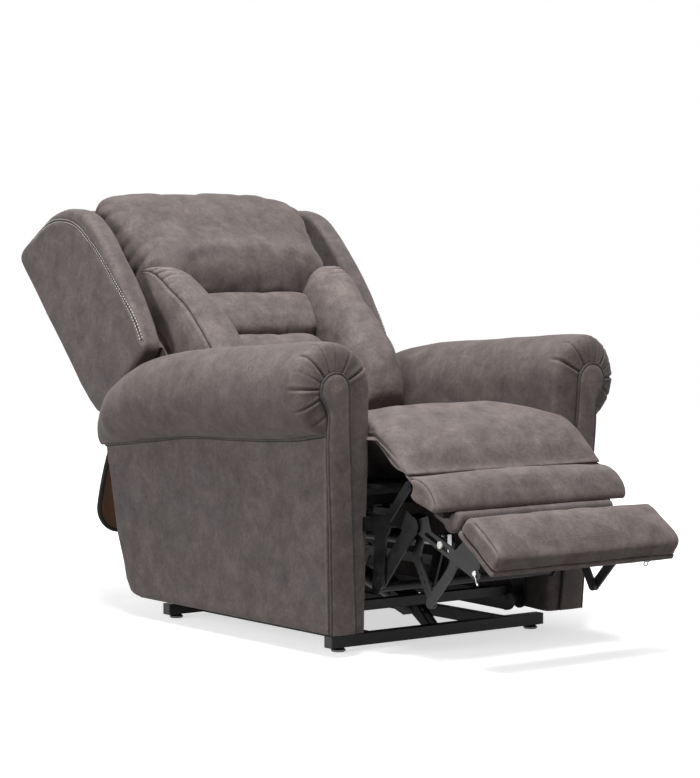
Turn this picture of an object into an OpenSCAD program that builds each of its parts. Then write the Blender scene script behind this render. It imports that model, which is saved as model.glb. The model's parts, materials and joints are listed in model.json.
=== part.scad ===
// Lift recliner chair: rolled arms, winged back, fold-out footrest and a standing-aid lift base.
// The chair faces -Y, a sitter's left hand is on +X, and the floor is z = 0.
// Shapes are set out from the plane of the arm fronts (y = 0) and moved once, by origin_back.

/* [Overall] */
// Distance from the arm fronts back to the middle of the part's footprint
origin_back = 480; // [440:1:520]
// Width of the seat between the arms
seat_w = 584; // [520:1:640]
// Width of one arm from its inner face to its outer face
arm_w = 98; // [85:1:110]

/* [Lift base] */
// Outer size of the square base tube
tube_w = 27; // [22:1:30]
// Wall of the base tube
tube_wall = 2; // [1.5:0.1:3]
// Height of the base tube's underside above the floor
base_lift = 10; // [8:1:14]
// Overall length of the front and rear base bars
bar_len = 636; // [600:1:640]
// Y of the front bar's middle
bar_front_y = 112; // [105:1:120]
// Y of the rear bar's middle
bar_rear_y = 782; // [760:1:800]
// Distance between the middles of the two side rails
rail_gap = 410; // [390:1:420]
// Radius of a levelling foot
foot_r = 17; // [14:0.5:20]
// Radius of a levelling foot's stud
stud_r = 4; // [3:0.5:5]
// Distance of a levelling foot in from the end of its bar
foot_inset = 27; // [22:1:34]

/* [Lift linkage] */
// Thickness of the lift arms and links
lift_t = 8; // [6:1:9]
// Radius of the round ends of a lift arm
lift_end_r = 28; // [24:1:29]
// Radius of the lift pivot pins
lift_pin_r = 8; // [6:0.5:10]
// Length of a lift arm between its pivots
lift_arm_len = 510; // [500:1:520]
// Height of the lift arm's pivots above the floor at rest
lift_pin_z = 76; // [74:1:80]
// Width of the cross tube that joins the lift arms
cross_w = 26; // [22:1:30]
// Height of the cross tube that joins the lift arms
cross_h = 23; // [20:1:26]

/* [Mechanism] */
// Thickness of the mechanism's steel links
link_t = 5; // [4:0.5:6]
// Clearance beside each link
link_gap = 3; // [2.5:0.1:3]
// Half width of the links' bars
link_r = 14; // [12:0.5:16]
// Radius of the link pivots
pivot_r = 5; // [4:0.5:6]
// Radial running clearance of pins in their holes
run_gap = 0.05; // [0.02:0.01:0.1]
// Thickness of the seat's steel side plates
plate_t = 5; // [4:0.5:6]

/* [Arms] */
// Half width of the rolled arm top
roll_rx = 91; // [80:1:94]
// Height of the arm top above the floor at the front
roll_top = 712; // [690:1:730]
// Height of the seam under the arm roll at the front
welt_front_z = 509; // [495:1:520]
// Height of the seam under the arm roll at the rear
welt_rear_z = 428; // [415:1:440]
// Height of an arm's underside above the floor
arm_floor = 52; // [46:1:60]
// Depth of an arm from front to rear, at its seam
arm_len = 947; // [920:1:960]
// Radius of the round lobe on the arm front panel
lobe_r = 39; // [32:1:44]
// Thickness of the padded arm front panel
front_t = 12; // [8:1:14]
// Thickness of the wooden arm board
board_t = 15; // [12:1:18]

/* [Back] */
// Full recline to fully upright, in degrees
recline_deg = 25; // [20:1:25]
// Thickness of a wing
wing_t = 58; // [50:1:62]
// Outer width of the back over its wings
back_w = 770; // [740:2:780]
// Height of the back panel along its slope
back_len = 553; // [530:1:570]

/* [Cushions] */
// Gap between neighbouring cushions
pad_gap = 0.5; // [0.3:0.1:0.8]
// Width of the footrest pad
foot_w = 540; // [480:1:560]
// Thickness of the footrest and calf boards
ply_t = 12; // [9:1:15]

/* [Hidden] */
$fn = 48;
eps = 0.01;

suede = [0.36, 0.32, 0.31];
suede_dark = [0.30, 0.27, 0.26];
black_steel = [0.07, 0.07, 0.08];
bright_steel = [0.55, 0.56, 0.58];
black_plastic = [0.10, 0.10, 0.11];
plywood = [0.72, 0.55, 0.36];
hardboard = [0.42, 0.22, 0.10];
grey_felt = [0.20, 0.20, 0.21];

// --- derived places, as [y, z] in the plane of the arm fronts ---
seat_half = seat_w / 2;
arm_out = seat_half + arm_w;
roll_x = arm_out - 6;
tube_mid_z = base_lift + tube_w / 2;
rail_x = rail_gap / 2;
rest_gap = 0.3;

// lift linkage: rear pivot, front pivot and the second link that tips the seat forward
lift_deg = 40;
tilt_deg = 22;
lift_rear = [640, lift_pin_z];
lift_front = lift_rear - [lift_arm_len, 0];
link_rear = [700, 140];
link_front_z = 140;
lift_front_up = lift_rear + turned([-lift_arm_len, 0], -lift_deg);
tip_pole = pole(lift_front, lift_front_up, tilt_deg);
link_aim = unit(turned(link_rear - tip_pole, -tilt_deg / 2));
link_front = tip_pole + link_aim * (link_front_z - tip_pole[1]) / link_aim[1];
bracket_t = 6;
bracket_x = rail_x + tube_w / 2;
lift_arm_x = bracket_x + bracket_t + 2;
lift_link_t = 6;
lift_link_x = lift_arm_x + lift_t + 2;
link_end_r = 13;
// the second link's front eye and the lift rod's eye stay open: their pins have room for the arc
open_pin_r = 5;
open_gap = 8;
rod_eye_gap = 5;
link_bracket_x = lift_link_x + lift_link_t + 2;
torque_r = 14;
cross_mid = lift_front + [10, 20];

// lift motor between the front clevis and the crank on the rear torque tube
motor_eye = [178, 62];
lift_crank = [600, 190];
crank_r = 16;
eye_half = 7;

// seat mechanism, layered inwards from the side plate
rail_block = 19;
plate_x = seat_half - rail_block - plate_t;
leg_link_x = plate_x - link_gap - link_t;
foot_arm_x = leg_link_x - link_gap - link_t;
scissor_a_x = foot_arm_x - link_gap - link_t;
scissor_b_x = scissor_a_x - link_gap - link_t;
leg_pivot = [-12, 175];
knee_pivot = [-125, 308];
toe_pivot = [-330, 222];
scissor_top = [-262, 250.5];
scissor_bend = [-232, 209];
scissor_foot = [-165, 138];
scissor_hole = [-108, 235];
scissor_free = [-128, 296];
leg_tube = leg_pivot + 27 * unit(leg_pivot - knee_pivot);
leg_tube_r = 10;
calf_seam = [-118, 395];
seam_r = 30;
back_pivot = [700, 330];
chord_z = 300;
chord_r = 24;

// actuators under the seat
actuator_x = 90;
leg_crank_r = 75;
leg_crank_deg = 102;
leg_crank_pin = leg_pivot + turned([leg_crank_r, 0], leg_crank_deg);
back_crank_r = 70;
back_crank_pin = back_pivot + turned([0, -back_crank_r], -recline_deg / 2);
rod_r = 9;
barrel_r = 17;

// the back's own plane: origin at the foot of its rear panel, y up the slope, z forwards
back_foot = [1002, 485];
back_deg = 46.3;
wing_x = back_w / 2 - wing_t;
core_low = 130;
core_top = 238;

// rear rail and the flap that hangs from it
rail_rear_y = 980;
rail_mid_z = 410;
flap_pin = [988, 418];
flap_deg = 18;
flap_len = 232;
flap_w = 700;

seat_base_z = 388;
deck_t = 11.7;

// --- small helpers ---
function turned(v, a) = [v[0] * cos(a) - v[1] * sin(a), v[0] * sin(a) + v[1] * cos(a)];
function unit(v) = v / norm(v);
// the point that stays put when p moves to q while the body turns by a degrees
function pole(p, q, a) =
  let (m = (p + q) / 2, d = q - p)
  m + [-d[1], d[0]] / (2 * tan(a / 2));
function about(middle, width) = [middle - width / 2, middle + width / 2];
function signed_pow(v, e) = sign(v) * pow(abs(v), e);
function centre_of(points) = [for (k = [0:1]) (max([for (p = points) p[k]]) + min([for (p = points) p[k]])) / 2];
function pulled_in(p, c, d) = c + (p - c) * max(0, 1 - d / max(norm(p - c), 1));
function arc_points(c, r, from, to, n) =
  [for (i = [0:n]) let (a = from + (to - from) * i / n) c + r * [cos(a), sin(a)]];

module in_place() translate([0, -origin_back, 0]) children();
module handed(side) mirror([side < 0 ? 1 : 0, 0, 0]) children();
// extrudes an outline drawn in [y, z] along X, from x over a thickness t
module plate(x, t) translate([x, 0, 0]) rotate([90, 0, 90]) linear_extrude(t) children();
module at(p) translate(p) children();
module spread_x(half) for (side = [-1, 1]) translate([side * half, 0, 0]) children();

// a flat bar with round ends between two pivots; its sides are eased in so they cut the round ends cleanly
side_ease = 0.25;
module bar_side(p, q, r) at(p) rotate(atan2(q[1] - p[1], q[0] - p[0]))
  translate([0, side_ease - r]) square([norm(q - p), 2 * (r - side_ease)]);
module bar(p, q, r) {
  at(p) circle(r);
  at(q) circle(r);
  bar_side(p, q, r);
}
module bent_bar(p, q, s, r) {
  bar(p, q, r);
  bar_side(q, s, r);
  at(s) circle(r);
}
module hole(p, r) at(p) circle(r);
module pin(x, len, p, r) translate([x, p[0], p[1]]) rotate([0, 90, 0]) cylinder(r = r, h = len);
module square_tube(len, w, wall) difference() {
  translate([-len / 2, -w / 2, -w / 2]) cube([len, w, w]);
  translate([-len / 2 - 1, -w / 2 + wall, -w / 2 + wall]) cube([len + 2, w - 2 * wall, w - 2 * wall]);
}
module block(x, y, z) translate([x[0], y[0], z[0]]) cube([x[1] - x[0], y[1] - y[0], z[1] - z[0]]);

// a closed skin through a list of rings, each with the same number of points
module loft(rings) {
  n = len(rings[0]);
  last = len(rings) - 1;
  points = [for (ring = rings) each ring];
  sides = [for (i = [0:last - 1]) for (j = [0:n - 1]) let (k = (j + 1) % n)
    [i * n + j, i * n + k, (i + 1) * n + k, (i + 1) * n + j]];
  caps = [[for (j = [n - 1:-1:0]) j], [for (j = [0:n - 1]) last * n + j]];
  polyhedron(points = points, faces = concat(sides, caps), convexity = 6);
}

// a cushion on z = 0: rounded-square plan, swelling sides and a crowned top
pad_steps = [[0.05, 0], [0, 0.16], [0, 0.45], [0.05, 0.72], [0.17, 0.88], [0.42, 0.97], [0.75, 1]];
module cushion(w, l, h, taper = 0) {
  n = 28;
  reach = min(w, l) / 2;
  loft([for (s = pad_steps) [for (i = [0:n - 1])
    let (a = 360 * i / n, v = signed_pow(sin(a), 0.4), hx = w / 2 * (1 + taper * v) - s[0] * reach)
    [hx * signed_pow(cos(a), 0.4), v * (l / 2 - s[0] * reach), s[1] * h]]]);
}

// an upholstered slab: a [y, z] outline swept across X, pulled in at its two side faces and crowned
side_steps = [[1, 9], [0.985, 3.5], [0.95, 0], [0.55, 0], [0, 0]];
module upholstered(half, outline, crown, crown_from) {
  c = centre_of(outline);
  right = [for (i = [0:len(side_steps) - 1]) side_steps[i]];
  left = [for (i = [len(side_steps) - 2:-1:0]) [-side_steps[i][0], side_steps[i][1]]];
  loft([for (s = concat(right, left)) [for (p = outline)
    let (q = pulled_in(p, c, s[1]), rise = p[1] > crown_from ? crown * (1 - s[0] * s[0]) : 0)
    [s[0] * half, q[0], q[1] + rise]]]);
}

// --- lift base ---
module bar_tube(y) in_place() color(black_steel) difference() {
  translate([0, y, tube_mid_z]) square_tube(bar_len, tube_w, tube_wall);
  spread_x(bar_len / 2 - foot_inset) translate([0, y, base_lift - 1]) cylinder(r = stud_r + run_gap, h = tube_wall + 2);
}
module base_front_bar() bar_tube(bar_front_y);
module base_rear_bar() bar_tube(bar_rear_y);

module base_rails() in_place() color(black_steel)
  spread_x(rail_x) translate([0, (bar_front_y + bar_rear_y) / 2, tube_mid_z]) rotate(90)
    square_tube(bar_rear_y - bar_front_y - tube_w, tube_w, tube_wall);

module bar_end_caps() in_place() color(black_plastic)
  for (y = [bar_front_y, bar_rear_y]) for (side = [-1, 1]) translate([side * bar_len / 2, y, tube_mid_z]) handed(side) {
    fit = tube_w / 2 - tube_wall - 0.1;
    block([0, 3], [-tube_w / 2, tube_w / 2], [-tube_w / 2, tube_w / 2]);
    block([-12, eps], [-fit, fit], [-fit, fit]);
  }

module levelling_feet() in_place() color(bright_steel)
  for (y = [bar_front_y, bar_rear_y]) spread_x(bar_len / 2 - foot_inset) translate([0, y, 0])
    rotate_extrude() polygon([[0, 0], [foot_r - 2, 0], [foot_r, 2], [foot_r, 5], [foot_r - 5, base_lift - rest_gap],
      [stud_r, base_lift - rest_gap], [stud_r, base_lift + 15], [0, base_lift + 15]]);

// plates that carry the lift arm (inner) and the second link (outer)
module pivot_bracket(side) in_place() handed(side) color(black_steel) {
  top = base_lift + tube_w;
  plate(bracket_x, bracket_t) difference() {
    union() {
      at(lift_rear) circle(lift_end_r);
      polygon([lift_rear + [-75, base_lift + 6 - lift_pin_z], lift_rear + [75, base_lift + 6 - lift_pin_z],
        lift_rear + [20, 18], lift_rear + [-20, 18]]);
    }
    hole(lift_rear, torque_r + run_gap);
  }
  plate(link_bracket_x, bracket_t) difference() {
    union() {
      at(link_rear) circle(link_end_r + 5);
      polygon([[bar_rear_y - 40, top], [bar_rear_y + tube_w / 2, top], link_rear + [14, 10], link_rear + [-14, -10]]);
    }
    hole(link_rear, lift_pin_r);
  }
  pin(lift_link_x - 1, lift_link_t + bracket_t + 3, link_rear, lift_pin_r);
}

module lift_motor_clevis() in_place() color(black_steel) {
  spread_x(eye_half + 4) plate(-3, 6) difference() {
    union() {
      at(motor_eye) circle(14);
      polygon([[bar_front_y + tube_w / 2, base_lift + 2], [bar_front_y + tube_w / 2, base_lift + tube_w - 2],
        motor_eye + [-8, 11], motor_eye + [8, -11]]);
    }
    hole(motor_eye, pivot_r);
  }
  pin(-eye_half - 7, 2 * eye_half + 14, motor_eye, pivot_r);
}

// --- lift arms ---
module lift_arm(side) in_place() handed(side) color(black_steel)
  plate(lift_arm_x, lift_t) difference() {
    union() {
      at(lift_front) circle(lift_end_r);
      at(lift_rear) circle(lift_end_r - 3);
      polygon([lift_front + [-8, -lift_end_r + 1], lift_rear + [0, -18], lift_rear + [0, 18],
        lift_front + [60, 16], lift_front + [26, lift_end_r + 6], lift_front + [-10, lift_end_r + 6],
        lift_front + [-lift_end_r + 1, 8]]);
    }
    hole(lift_front, lift_pin_r + run_gap);
  }

module lift_cross_tube() in_place() color(black_steel) difference() {
  block([-lift_arm_x, lift_arm_x], about(cross_mid[0], cross_w), about(cross_mid[1], cross_h));
  block([-lift_arm_x - 1, lift_arm_x + 1], about(cross_mid[0], cross_w - 4), about(cross_mid[1], cross_h - 4));
}

module lift_torque_tube() in_place() color(black_steel) {
  difference() {
    union() {
      pin(-lift_arm_x, 2 * lift_arm_x, lift_rear, torque_r);
      spread_x(eye_half + 4) plate(-3, 6) bar(lift_rear, lift_crank, crank_r);
    }
    pin(-lift_arm_x - 1, 2 * lift_arm_x + 2, lift_rear, torque_r - 4);
  }
  pin(-eye_half - 7, 2 * eye_half + 14, lift_crank, pivot_r);
}

module lift_link(side) in_place() handed(side) color(black_steel)
  plate(lift_link_x, lift_link_t) difference() {
    union() {
      bar(link_front, link_rear, link_end_r);
      at(link_front) circle(open_pin_r + open_gap + 7);
    }
    hole(link_front, open_pin_r + open_gap);
    hole(link_rear, lift_pin_r + run_gap);
  }

// draws along the line of the lift motor: x across, y from the eye towards the crank
module along_lift_motor() in_place() translate([0, motor_eye[0], motor_eye[1]])
  rotate([atan2(lift_crank[1] - motor_eye[1], lift_crank[0] - motor_eye[0]), 0, 0]) children();
lift_reach = norm(lift_crank - motor_eye);
lift_barrel = 330;
module lying(from, to, r) translate([0, from, 0]) rotate([-90, 0, 0]) cylinder(r = r, h = to - from);

module lift_motor() along_lift_motor() color(black_plastic) difference() {
  union() {
    lying(62, lift_barrel, barrel_r + 3);
    block([-26, 26], [24, 84], [-20, 20]);
    block([-eye_half, eye_half], [0, 30], [-9, 9]);
    rotate([0, 90, 0]) cylinder(r = 9, h = 2 * eye_half, center = true);
    translate([30, 54, 0]) rotate([-90, 0, 0]) cylinder(r = 19, h = 110);
  }
  rotate([0, 90, 0]) cylinder(r = pivot_r + run_gap, h = 60, center = true);
  lying(120, lift_barrel + 1, rod_r + run_gap);
}
module lift_rod() along_lift_motor() color(bright_steel) difference() {
  union() {
    lying(220, lift_reach - 42, rod_r);
    block([-eye_half, eye_half], [lift_reach - 44, lift_reach - 10], [-8, 8]);
    translate([0, lift_reach, 0]) rotate([0, 90, 0]) cylinder(r = pivot_r + rod_eye_gap + 6, h = 2 * eye_half, center = true);
  }
  translate([0, lift_reach, 0]) rotate([0, 90, 0]) cylinder(r = pivot_r + rod_eye_gap, h = 60, center = true);
}

// --- seat mechanism ---
module side_plate(side) in_place() handed(side) color(black_steel) {
  plate(plate_x, plate_t) difference() {
    union() {
      bent_bar([-30, chord_z], [640, chord_z], back_pivot, chord_r);
      bar(leg_pivot, [-22, chord_z - 6], 20);
      bar([-34, chord_z + 4], calf_seam, 11);
      bar(lift_front, [150, chord_z - 3], 26);
      bar([175, 200], [330, chord_z - 8], 14);
    }
    hole(leg_pivot, lift_pin_r + run_gap);
    hole(back_pivot, lift_pin_r + run_gap);
    hole(calf_seam, pivot_r + run_gap);
    for (y = [240:110:570]) hole([y, chord_z], 11);
  }
  pin(lift_arm_x - 1, plate_x - lift_arm_x + 1 + eps, lift_front, lift_pin_r);
  pin(plate_x - 5, 5 + eps, lift_front, lift_pin_r + 6);
  pin(lift_link_x - 1, plate_x - lift_link_x + 1 + eps, link_front, open_pin_r);
}

module seat_rails() in_place() color(black_steel) {
  spread_x(plate_x + plate_t + rail_block / 2)
    block([-rail_block / 2, rail_block / 2], [10, 640], [chord_z - 16, chord_z + 16]);
  block([-plate_x, plate_x], [60, 90], [361, seat_base_z - deck_t]);
  for (y = [420, 610]) block([-plate_x, plate_x], [y, y + 30], [chord_z - 10, chord_z + 20]);
  for (side = [-1, 1]) handed(side) {
    block([plate_x - 20, plate_x], [90, 110], [chord_z + chord_r - 40, seat_base_z - deck_t]);
    block([plate_x - 20, plate_x], [610, 630], [chord_z + 20, seat_base_z - deck_t]);
  }
}

// serpentine seat springs under a felt pad
spring_pitch = 30;
spring_wire = 3.6;
module spring_strip(len) {
  turns = floor(len / spring_pitch);
  for (i = [0:turns - 1]) translate([0, i * spring_pitch]) {
    up = i % 2 == 0 ? 1 : -1;
    translate([up * 18, spring_pitch / 2]) intersection() {
      difference() {
        circle(spring_pitch / 2 + spring_wire / 2);
        circle(spring_pitch / 2 - spring_wire / 2);
      }
      translate([up > 0 ? 0 : -spring_pitch, -spring_pitch]) square([spring_pitch, 2 * spring_pitch]);
    }
    if (i > 0) translate([-18, -spring_wire / 2]) square([36, spring_wire]);
  }
}
module seat_deck() in_place() color(grey_felt) {
  for (i = [-2:2]) translate([i * 105, 80, seat_base_z - deck_t]) linear_extrude(spring_wire) spring_strip(540);
  block([-seat_half + 30, seat_half - 30], [0, 640], [seat_base_z - deck_t + spring_wire, seat_base_z - rest_gap]);
}

seat_outline = concat(
  [[-84, seat_base_z], [560, seat_base_z], [572, 400], [560, 432], [470, 444], [330, 474], [200, 506], [110, 525],
    [40, 528], [-20, 515], [-70, 482], [-98, 456]],
  arc_points(calf_seam, seam_r + rest_gap + 6, 80, 0, 4));
module seat_cushion() in_place() color(suede) upholstered(seat_half - 5, seat_outline, 24, 430);

// --- arms ---
function welt_z(y) = welt_front_z + (welt_rear_z - welt_front_z) * y / arm_len;
function arm_lean(z) = 24 * (welt_front_z + 96 - z) / (welt_front_z + 96 - arm_floor);
function front_lean(z) = 24 * (lobe_z - z) / (lobe_z - arm_floor);
function arm_top_z(y) = roll_top - 0.058 * y - 1.47e-5 * pow(max(0, y - 467), 2.6);
lobe_z = roll_top - 107;
arm_rear_edge = [[838, arm_floor], [868, arm_floor + 14], [886, arm_floor + 46], [893, 141], [916, 219],
  [938, 389], [arm_len, welt_z(arm_len) - rest_gap]];

module arm_board(side) in_place() handed(side) color(plywood)
  plate(seat_half, board_t) difference() {
    polygon([[front_t + arm_lean(arm_floor), arm_floor + 6], [830, arm_floor + 6], [870, 100], [900, 300],
      [rail_rear_y - 30, 390], [rail_rear_y, 390], [rail_rear_y, 425], [arm_len - 10, 425],
      [arm_len - 10, welt_z(arm_len)], [front_t + 4, welt_z(front_t) - 1]]);
    for (y = [120:180:480]) hole([y, 240], 30);
  }

module arm_side(side) in_place() handed(side) color(suede) intersection() {
  plate(seat_half + board_t, arm_w) polygon(concat([[front_t + arm_lean(arm_floor), arm_floor]], arm_rear_edge,
    [[front_t + arm_lean(welt_front_z), welt_z(front_t + arm_lean(welt_front_z)) - rest_gap]]));
  translate([0, 1100, 0]) rotate([90, 0, 0]) linear_extrude(1200)
    polygon([[seat_half, 0], [arm_out - 17, 0], [arm_out + 3, 560], [seat_half, 560]]);
}

// stations along the rolled top: [y, share of the full section]
roll_stations = [[front_t, 0.72], [front_t + 5, 0.86], [front_t + 16, 0.95], [front_t + 38, 1], [160, 1], [320, 1],
  [467, 1], [560, 1], [650, 1], [730, 1], [800, 0.98], [860, 0.95], [905, 0.91], [940, 0.86], [966, 0.8], [984, 0.7]];
module arm_roll(side) in_place() handed(side) color(suede)
  loft([for (s = roll_stations)
    let (y = s[0], low = welt_z(y), top = arm_top_z(y), mid = low + 0.48 * (top - low), rx = roll_rx * s[1],
      foot = max(low, mid - s[1] * (mid - low)) + eps,
      ring = concat([for (a = [-80:13:180]) [rx * cos(a), mid + s[1] * (a < 0 ? mid - low : top - mid) * sin(a)]],
        [[-rx, foot], [rx * cos(80), foot]]))
    [for (p = ring) [roll_x + p[0], y + (y < 60 ? front_lean(p[1]) : 0), p[1]]]]);

module arm_front(side) in_place() handed(side) color(suede_dark) {
  inner = roll_x - lobe_r;
  drop = lobe_z - arm_floor;
  translate([0, 0, lobe_z]) rotate([atan(24 / drop), 0, 0]) translate([0, front_t - rest_gap, 0]) rotate([90, 0, 0])
    linear_extrude(front_t) union() {
      translate([roll_x, 0]) circle(lobe_r);
      polygon([[inner + 6, -4], [inner + 48, -4], [arm_out - 14, -drop], [arm_out - 82, -drop]]);
    }
}

module rear_rail() in_place() color(plywood) {
  block([-seat_half, seat_half], [rail_rear_y - 25, rail_rear_y], [rail_mid_z - 15, rail_mid_z + 15]);
  color(black_steel) for (x = [-270, 0, 270]) plate(x - 4, 8) difference() {
    union() {
      at(flap_pin) circle(6);
      translate([rail_rear_y, flap_pin[1] - 6]) square([flap_pin[0] - rail_rear_y, 12]);
    }
    hole(flap_pin, 3);
  }
  color(black_steel) pin(-276, 552, flap_pin, 3);
}

// --- actuators under the seat; each rod ends in a yoke with an upright slot ---
yoke_play = 2.5;
module yoke(p) plate(-6, 12) difference() {
  translate(p - [15, 26]) square([30, 46]);
  translate(p - [pivot_r + yoke_play, 22]) square([2 * (pivot_r + yoke_play), 38]);
}
module actuator_body(from, to, z, lug_y) difference() {
  union() {
    translate([0, 0, z]) lying(from, to, barrel_r);
    block([-24, 24], [to - 2, to + 66], [z - 22, z + 22]);
    translate([0, to + 40, z - 20]) rotate([0, 90, 0]) cylinder(r = 21, h = 96);
    block([-9, 9], [lug_y - 12, lug_y + 12], [z + 4, chord_z - 10]);
  }
  translate([0, 0, z]) lying(from - 1, to - 20, rod_r + run_gap);
}
leg_rod_z = leg_crank_pin[1];
leg_barrel_y = 84;
module leg_motor() in_place() translate([-actuator_x, 0, 0]) color(black_plastic)
  actuator_body(leg_barrel_y, 366, leg_rod_z, 433);
module leg_motor_rod() in_place() translate([-actuator_x, 0, 0]) color(bright_steel) {
  translate([0, 0, leg_rod_z]) lying(leg_crank_pin[0] + 14, 250, rod_r);
  yoke(leg_crank_pin);
}
back_rod_z = back_crank_pin[1];
back_barrel_y = 640;
module back_motor() in_place() translate([actuator_x, 0, 0]) mirror([0, 1, 0]) translate([0, -back_barrel_y, 0])
  color(black_plastic) actuator_body(0, 200, back_rod_z, back_barrel_y - 435);
module back_motor_rod() in_place() translate([actuator_x, 0, 0]) color(bright_steel) {
  translate([0, 0, back_rod_z]) lying(480, back_crank_pin[0] - 14, rod_r);
  yoke(back_crank_pin);
}
module crank(p, q, r) {
  for (x = [-17, 11]) plate(x, 6) bar(p, q, r);
  pin(-17, 34, q, pivot_r);
}

// --- back ---
hinge_x = plate_x - link_gap - link_t;
post_w = 20;
module in_back() in_place() translate([0, back_foot[0], back_foot[1]]) rotate([back_deg, 0, 0]) children();
// the back hinge's place in the back's own plane
hinge_local = turned(back_pivot - back_foot, -back_deg);
post_foot = [hinge_local[0] + 30, 95];

module back_hinge(side) in_back() handed(side) color(black_steel) {
  plate(hinge_x, link_t) bar(hinge_local, [hinge_local[0] + 150, 112], 17);
  pin(hinge_x + eps, plate_x + plate_t + 2 - hinge_x, hinge_local, lift_pin_r);
}
module back_frame() in_back() color(black_steel) {
  for (side = [-1, 1]) handed(side) block([hinge_x - post_w, hinge_x], [post_foot[0], 505], [95, 129.7]);
  for (u = [-180, 60, 250, 470]) 
    block([-hinge_x + post_w + rest_gap, hinge_x - post_w - rest_gap], [u, u + 30], [97, 127]);
  pin(-hinge_x, 2 * hinge_x, hinge_local, 12);
  translate([actuator_x, 0, 0]) crank(hinge_local,
    hinge_local + turned([0, -back_crank_r], -recline_deg / 2 - back_deg), 14);
}
// the rear panel turns over the top of the back to meet the core
module back_panel() in_back() color(suede_dark) plate(-wing_x + rest_gap, 2 * (wing_x - rest_gap)) polygon([[0, 0],
  [back_len, 0], [back_len, 18], [521, core_top], [507, core_top], [538, 18], [0, 18]]);
module back_core() in_back() color(grey_felt) {
  block([-wing_x + rest_gap, wing_x - rest_gap], [30, 505], [core_low, core_top]);
  block([-seat_half + 8, seat_half - 8], [-238, 30], [core_low, core_top]);
}

wing_outline = [[0, 0], [back_len - 8, 0], [back_len + 10, 16], [back_len + 3, 74], [533, 173], [507, 235], [464, 287],
  [401, 325], [345, 333], [250, 332], [150, 328], [65, 311], [0, 296], [-14, 282], [-12, 262]];
module wing(side) in_back() handed(side) color(suede) {
  c = centre_of(wing_outline);
  steps = [[0, 10], [0.12, 2.5], [0.3, 0], [0.7, 0], [0.88, 2.5], [1, 10]];
  loft([for (s = steps) [for (p = wing_outline) let (q = pulled_in(p, c, s[1])) [wing_x + s[0] * wing_t, q[0], q[1]]]]);
}

pad_low = core_top + rest_gap;
head_half = 290;
head_len = 354;
head_mid = 328;
head_taper = 0.09;
module headrest() in_back() color(suede) translate([0, head_mid, pad_low])
  cushion(2 * head_half, head_len, 94, head_taper);
module lumbar_upper() in_back() color(suede) translate([0, 82, pad_low]) cushion(370, 136, 72);
module lumbar_lower() in_back() color(suede) translate([0, -110, pad_low]) cushion(370, 247, 76);

// side bolsters: sections across the back, from the seat up to the headrest
function bolster_top(u) = 404 - (u < -100 ? 0.0025 : 0.00075) * pow(u + 100, 2);
function head_edge(v) = head_half * (1 + head_taper * v) * pow(max(0, 1 - pow(abs(v), 5)), 0.2);
function bolster_inner(u) = u < 152 ? 186.5 : max(186.5, head_edge((u - head_mid) / (head_len / 2)) + 4);
bolster_stations = [[-253, 0.7], [-246, 0.86], [-225, 0.96], [-180, 1], [-100, 1], [0, 1], [80, 1], [140, 0.97],
  [151, 0.96], [160, 0.94], [172, 0.91], [186, 0.86], [200, 0.78], [210, 0.66]];
module bolster(side) in_back() handed(side) color(suede) {
  outer = seat_half - 5;
  loft([for (s = bolster_stations)
    let (u = s[0], inner = bolster_inner(u), half = (outer - inner) / 2, mid = (outer + inner) / 2,
      h = (bolster_top(u) - pad_low) * s[1])
    concat([for (a = [0:15:180]) [mid + half * signed_pow(cos(a), 0.7), u, pad_low + h * (0.3 + 0.7 * signed_pow(sin(a), 0.8))]],
      [[mid - half + 4, u, pad_low], [mid + half - 4, u, pad_low]])]);
}

// a curved board that covers the gap behind the seat, hung from the rear rail
module rear_flap() in_place() translate([0, flap_pin[0], flap_pin[1]]) rotate([flap_deg, 0, 0]) {
  corner = 70;
  bend = 700;
  color(hardboard) intersection() {
    translate([0, -bend + 13, -flap_len / 2]) rotate([0, 90, 0]) difference() {
      cylinder(r = bend, h = 800, center = true, $fn = 180);
      cylinder(r = bend - 12, h = 802, center = true, $fn = 180);
    }
    translate([0, 60, 0]) rotate([90, 0, 0]) linear_extrude(120) {
      translate([-flap_w / 2, -flap_len + corner]) square([flap_w, flap_len - corner - 9]);
      translate([-flap_w / 2 + corner, -flap_len]) square([flap_w - 2 * corner, corner + 1]);
      spread_x(flap_w / 2 - corner) translate([0, -flap_len + corner]) circle(corner);
    }
  }
  color(black_steel) for (x = [-263, 7]) difference() {
    union() {
      pin(x, 256, [0, 0], 6);
      block([x, x + 256], [-3, 3], [-16, 0]);
    }
    pin(x - 1, 258, [0, 0], 3 + run_gap);
  }
}

// --- footrest linkage ---
module leg_link(side) in_place() handed(side) color(black_steel) {
  plate(leg_link_x, link_t) union() {
    bar(leg_pivot, knee_pivot, 19);
    bar(leg_pivot, leg_tube, 14);
    polygon([knee_pivot + [-16, 8], knee_pivot + [20, 32], knee_pivot + [42, -12], knee_pivot + [10, -20]]);
  }
  pin(leg_link_x + link_t - eps, link_gap + plate_t + 3, leg_pivot, lift_pin_r);
  pin(foot_arm_x - 2, link_gap + link_t + 2 + eps, knee_pivot, pivot_r);
}
module leg_torque_tube() in_place() color(black_steel) {
  pin(-leg_link_x, 2 * leg_link_x, leg_tube, leg_tube_r);
  translate([-actuator_x, 0, 0]) crank(leg_tube, leg_crank_pin, 14);
}

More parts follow.
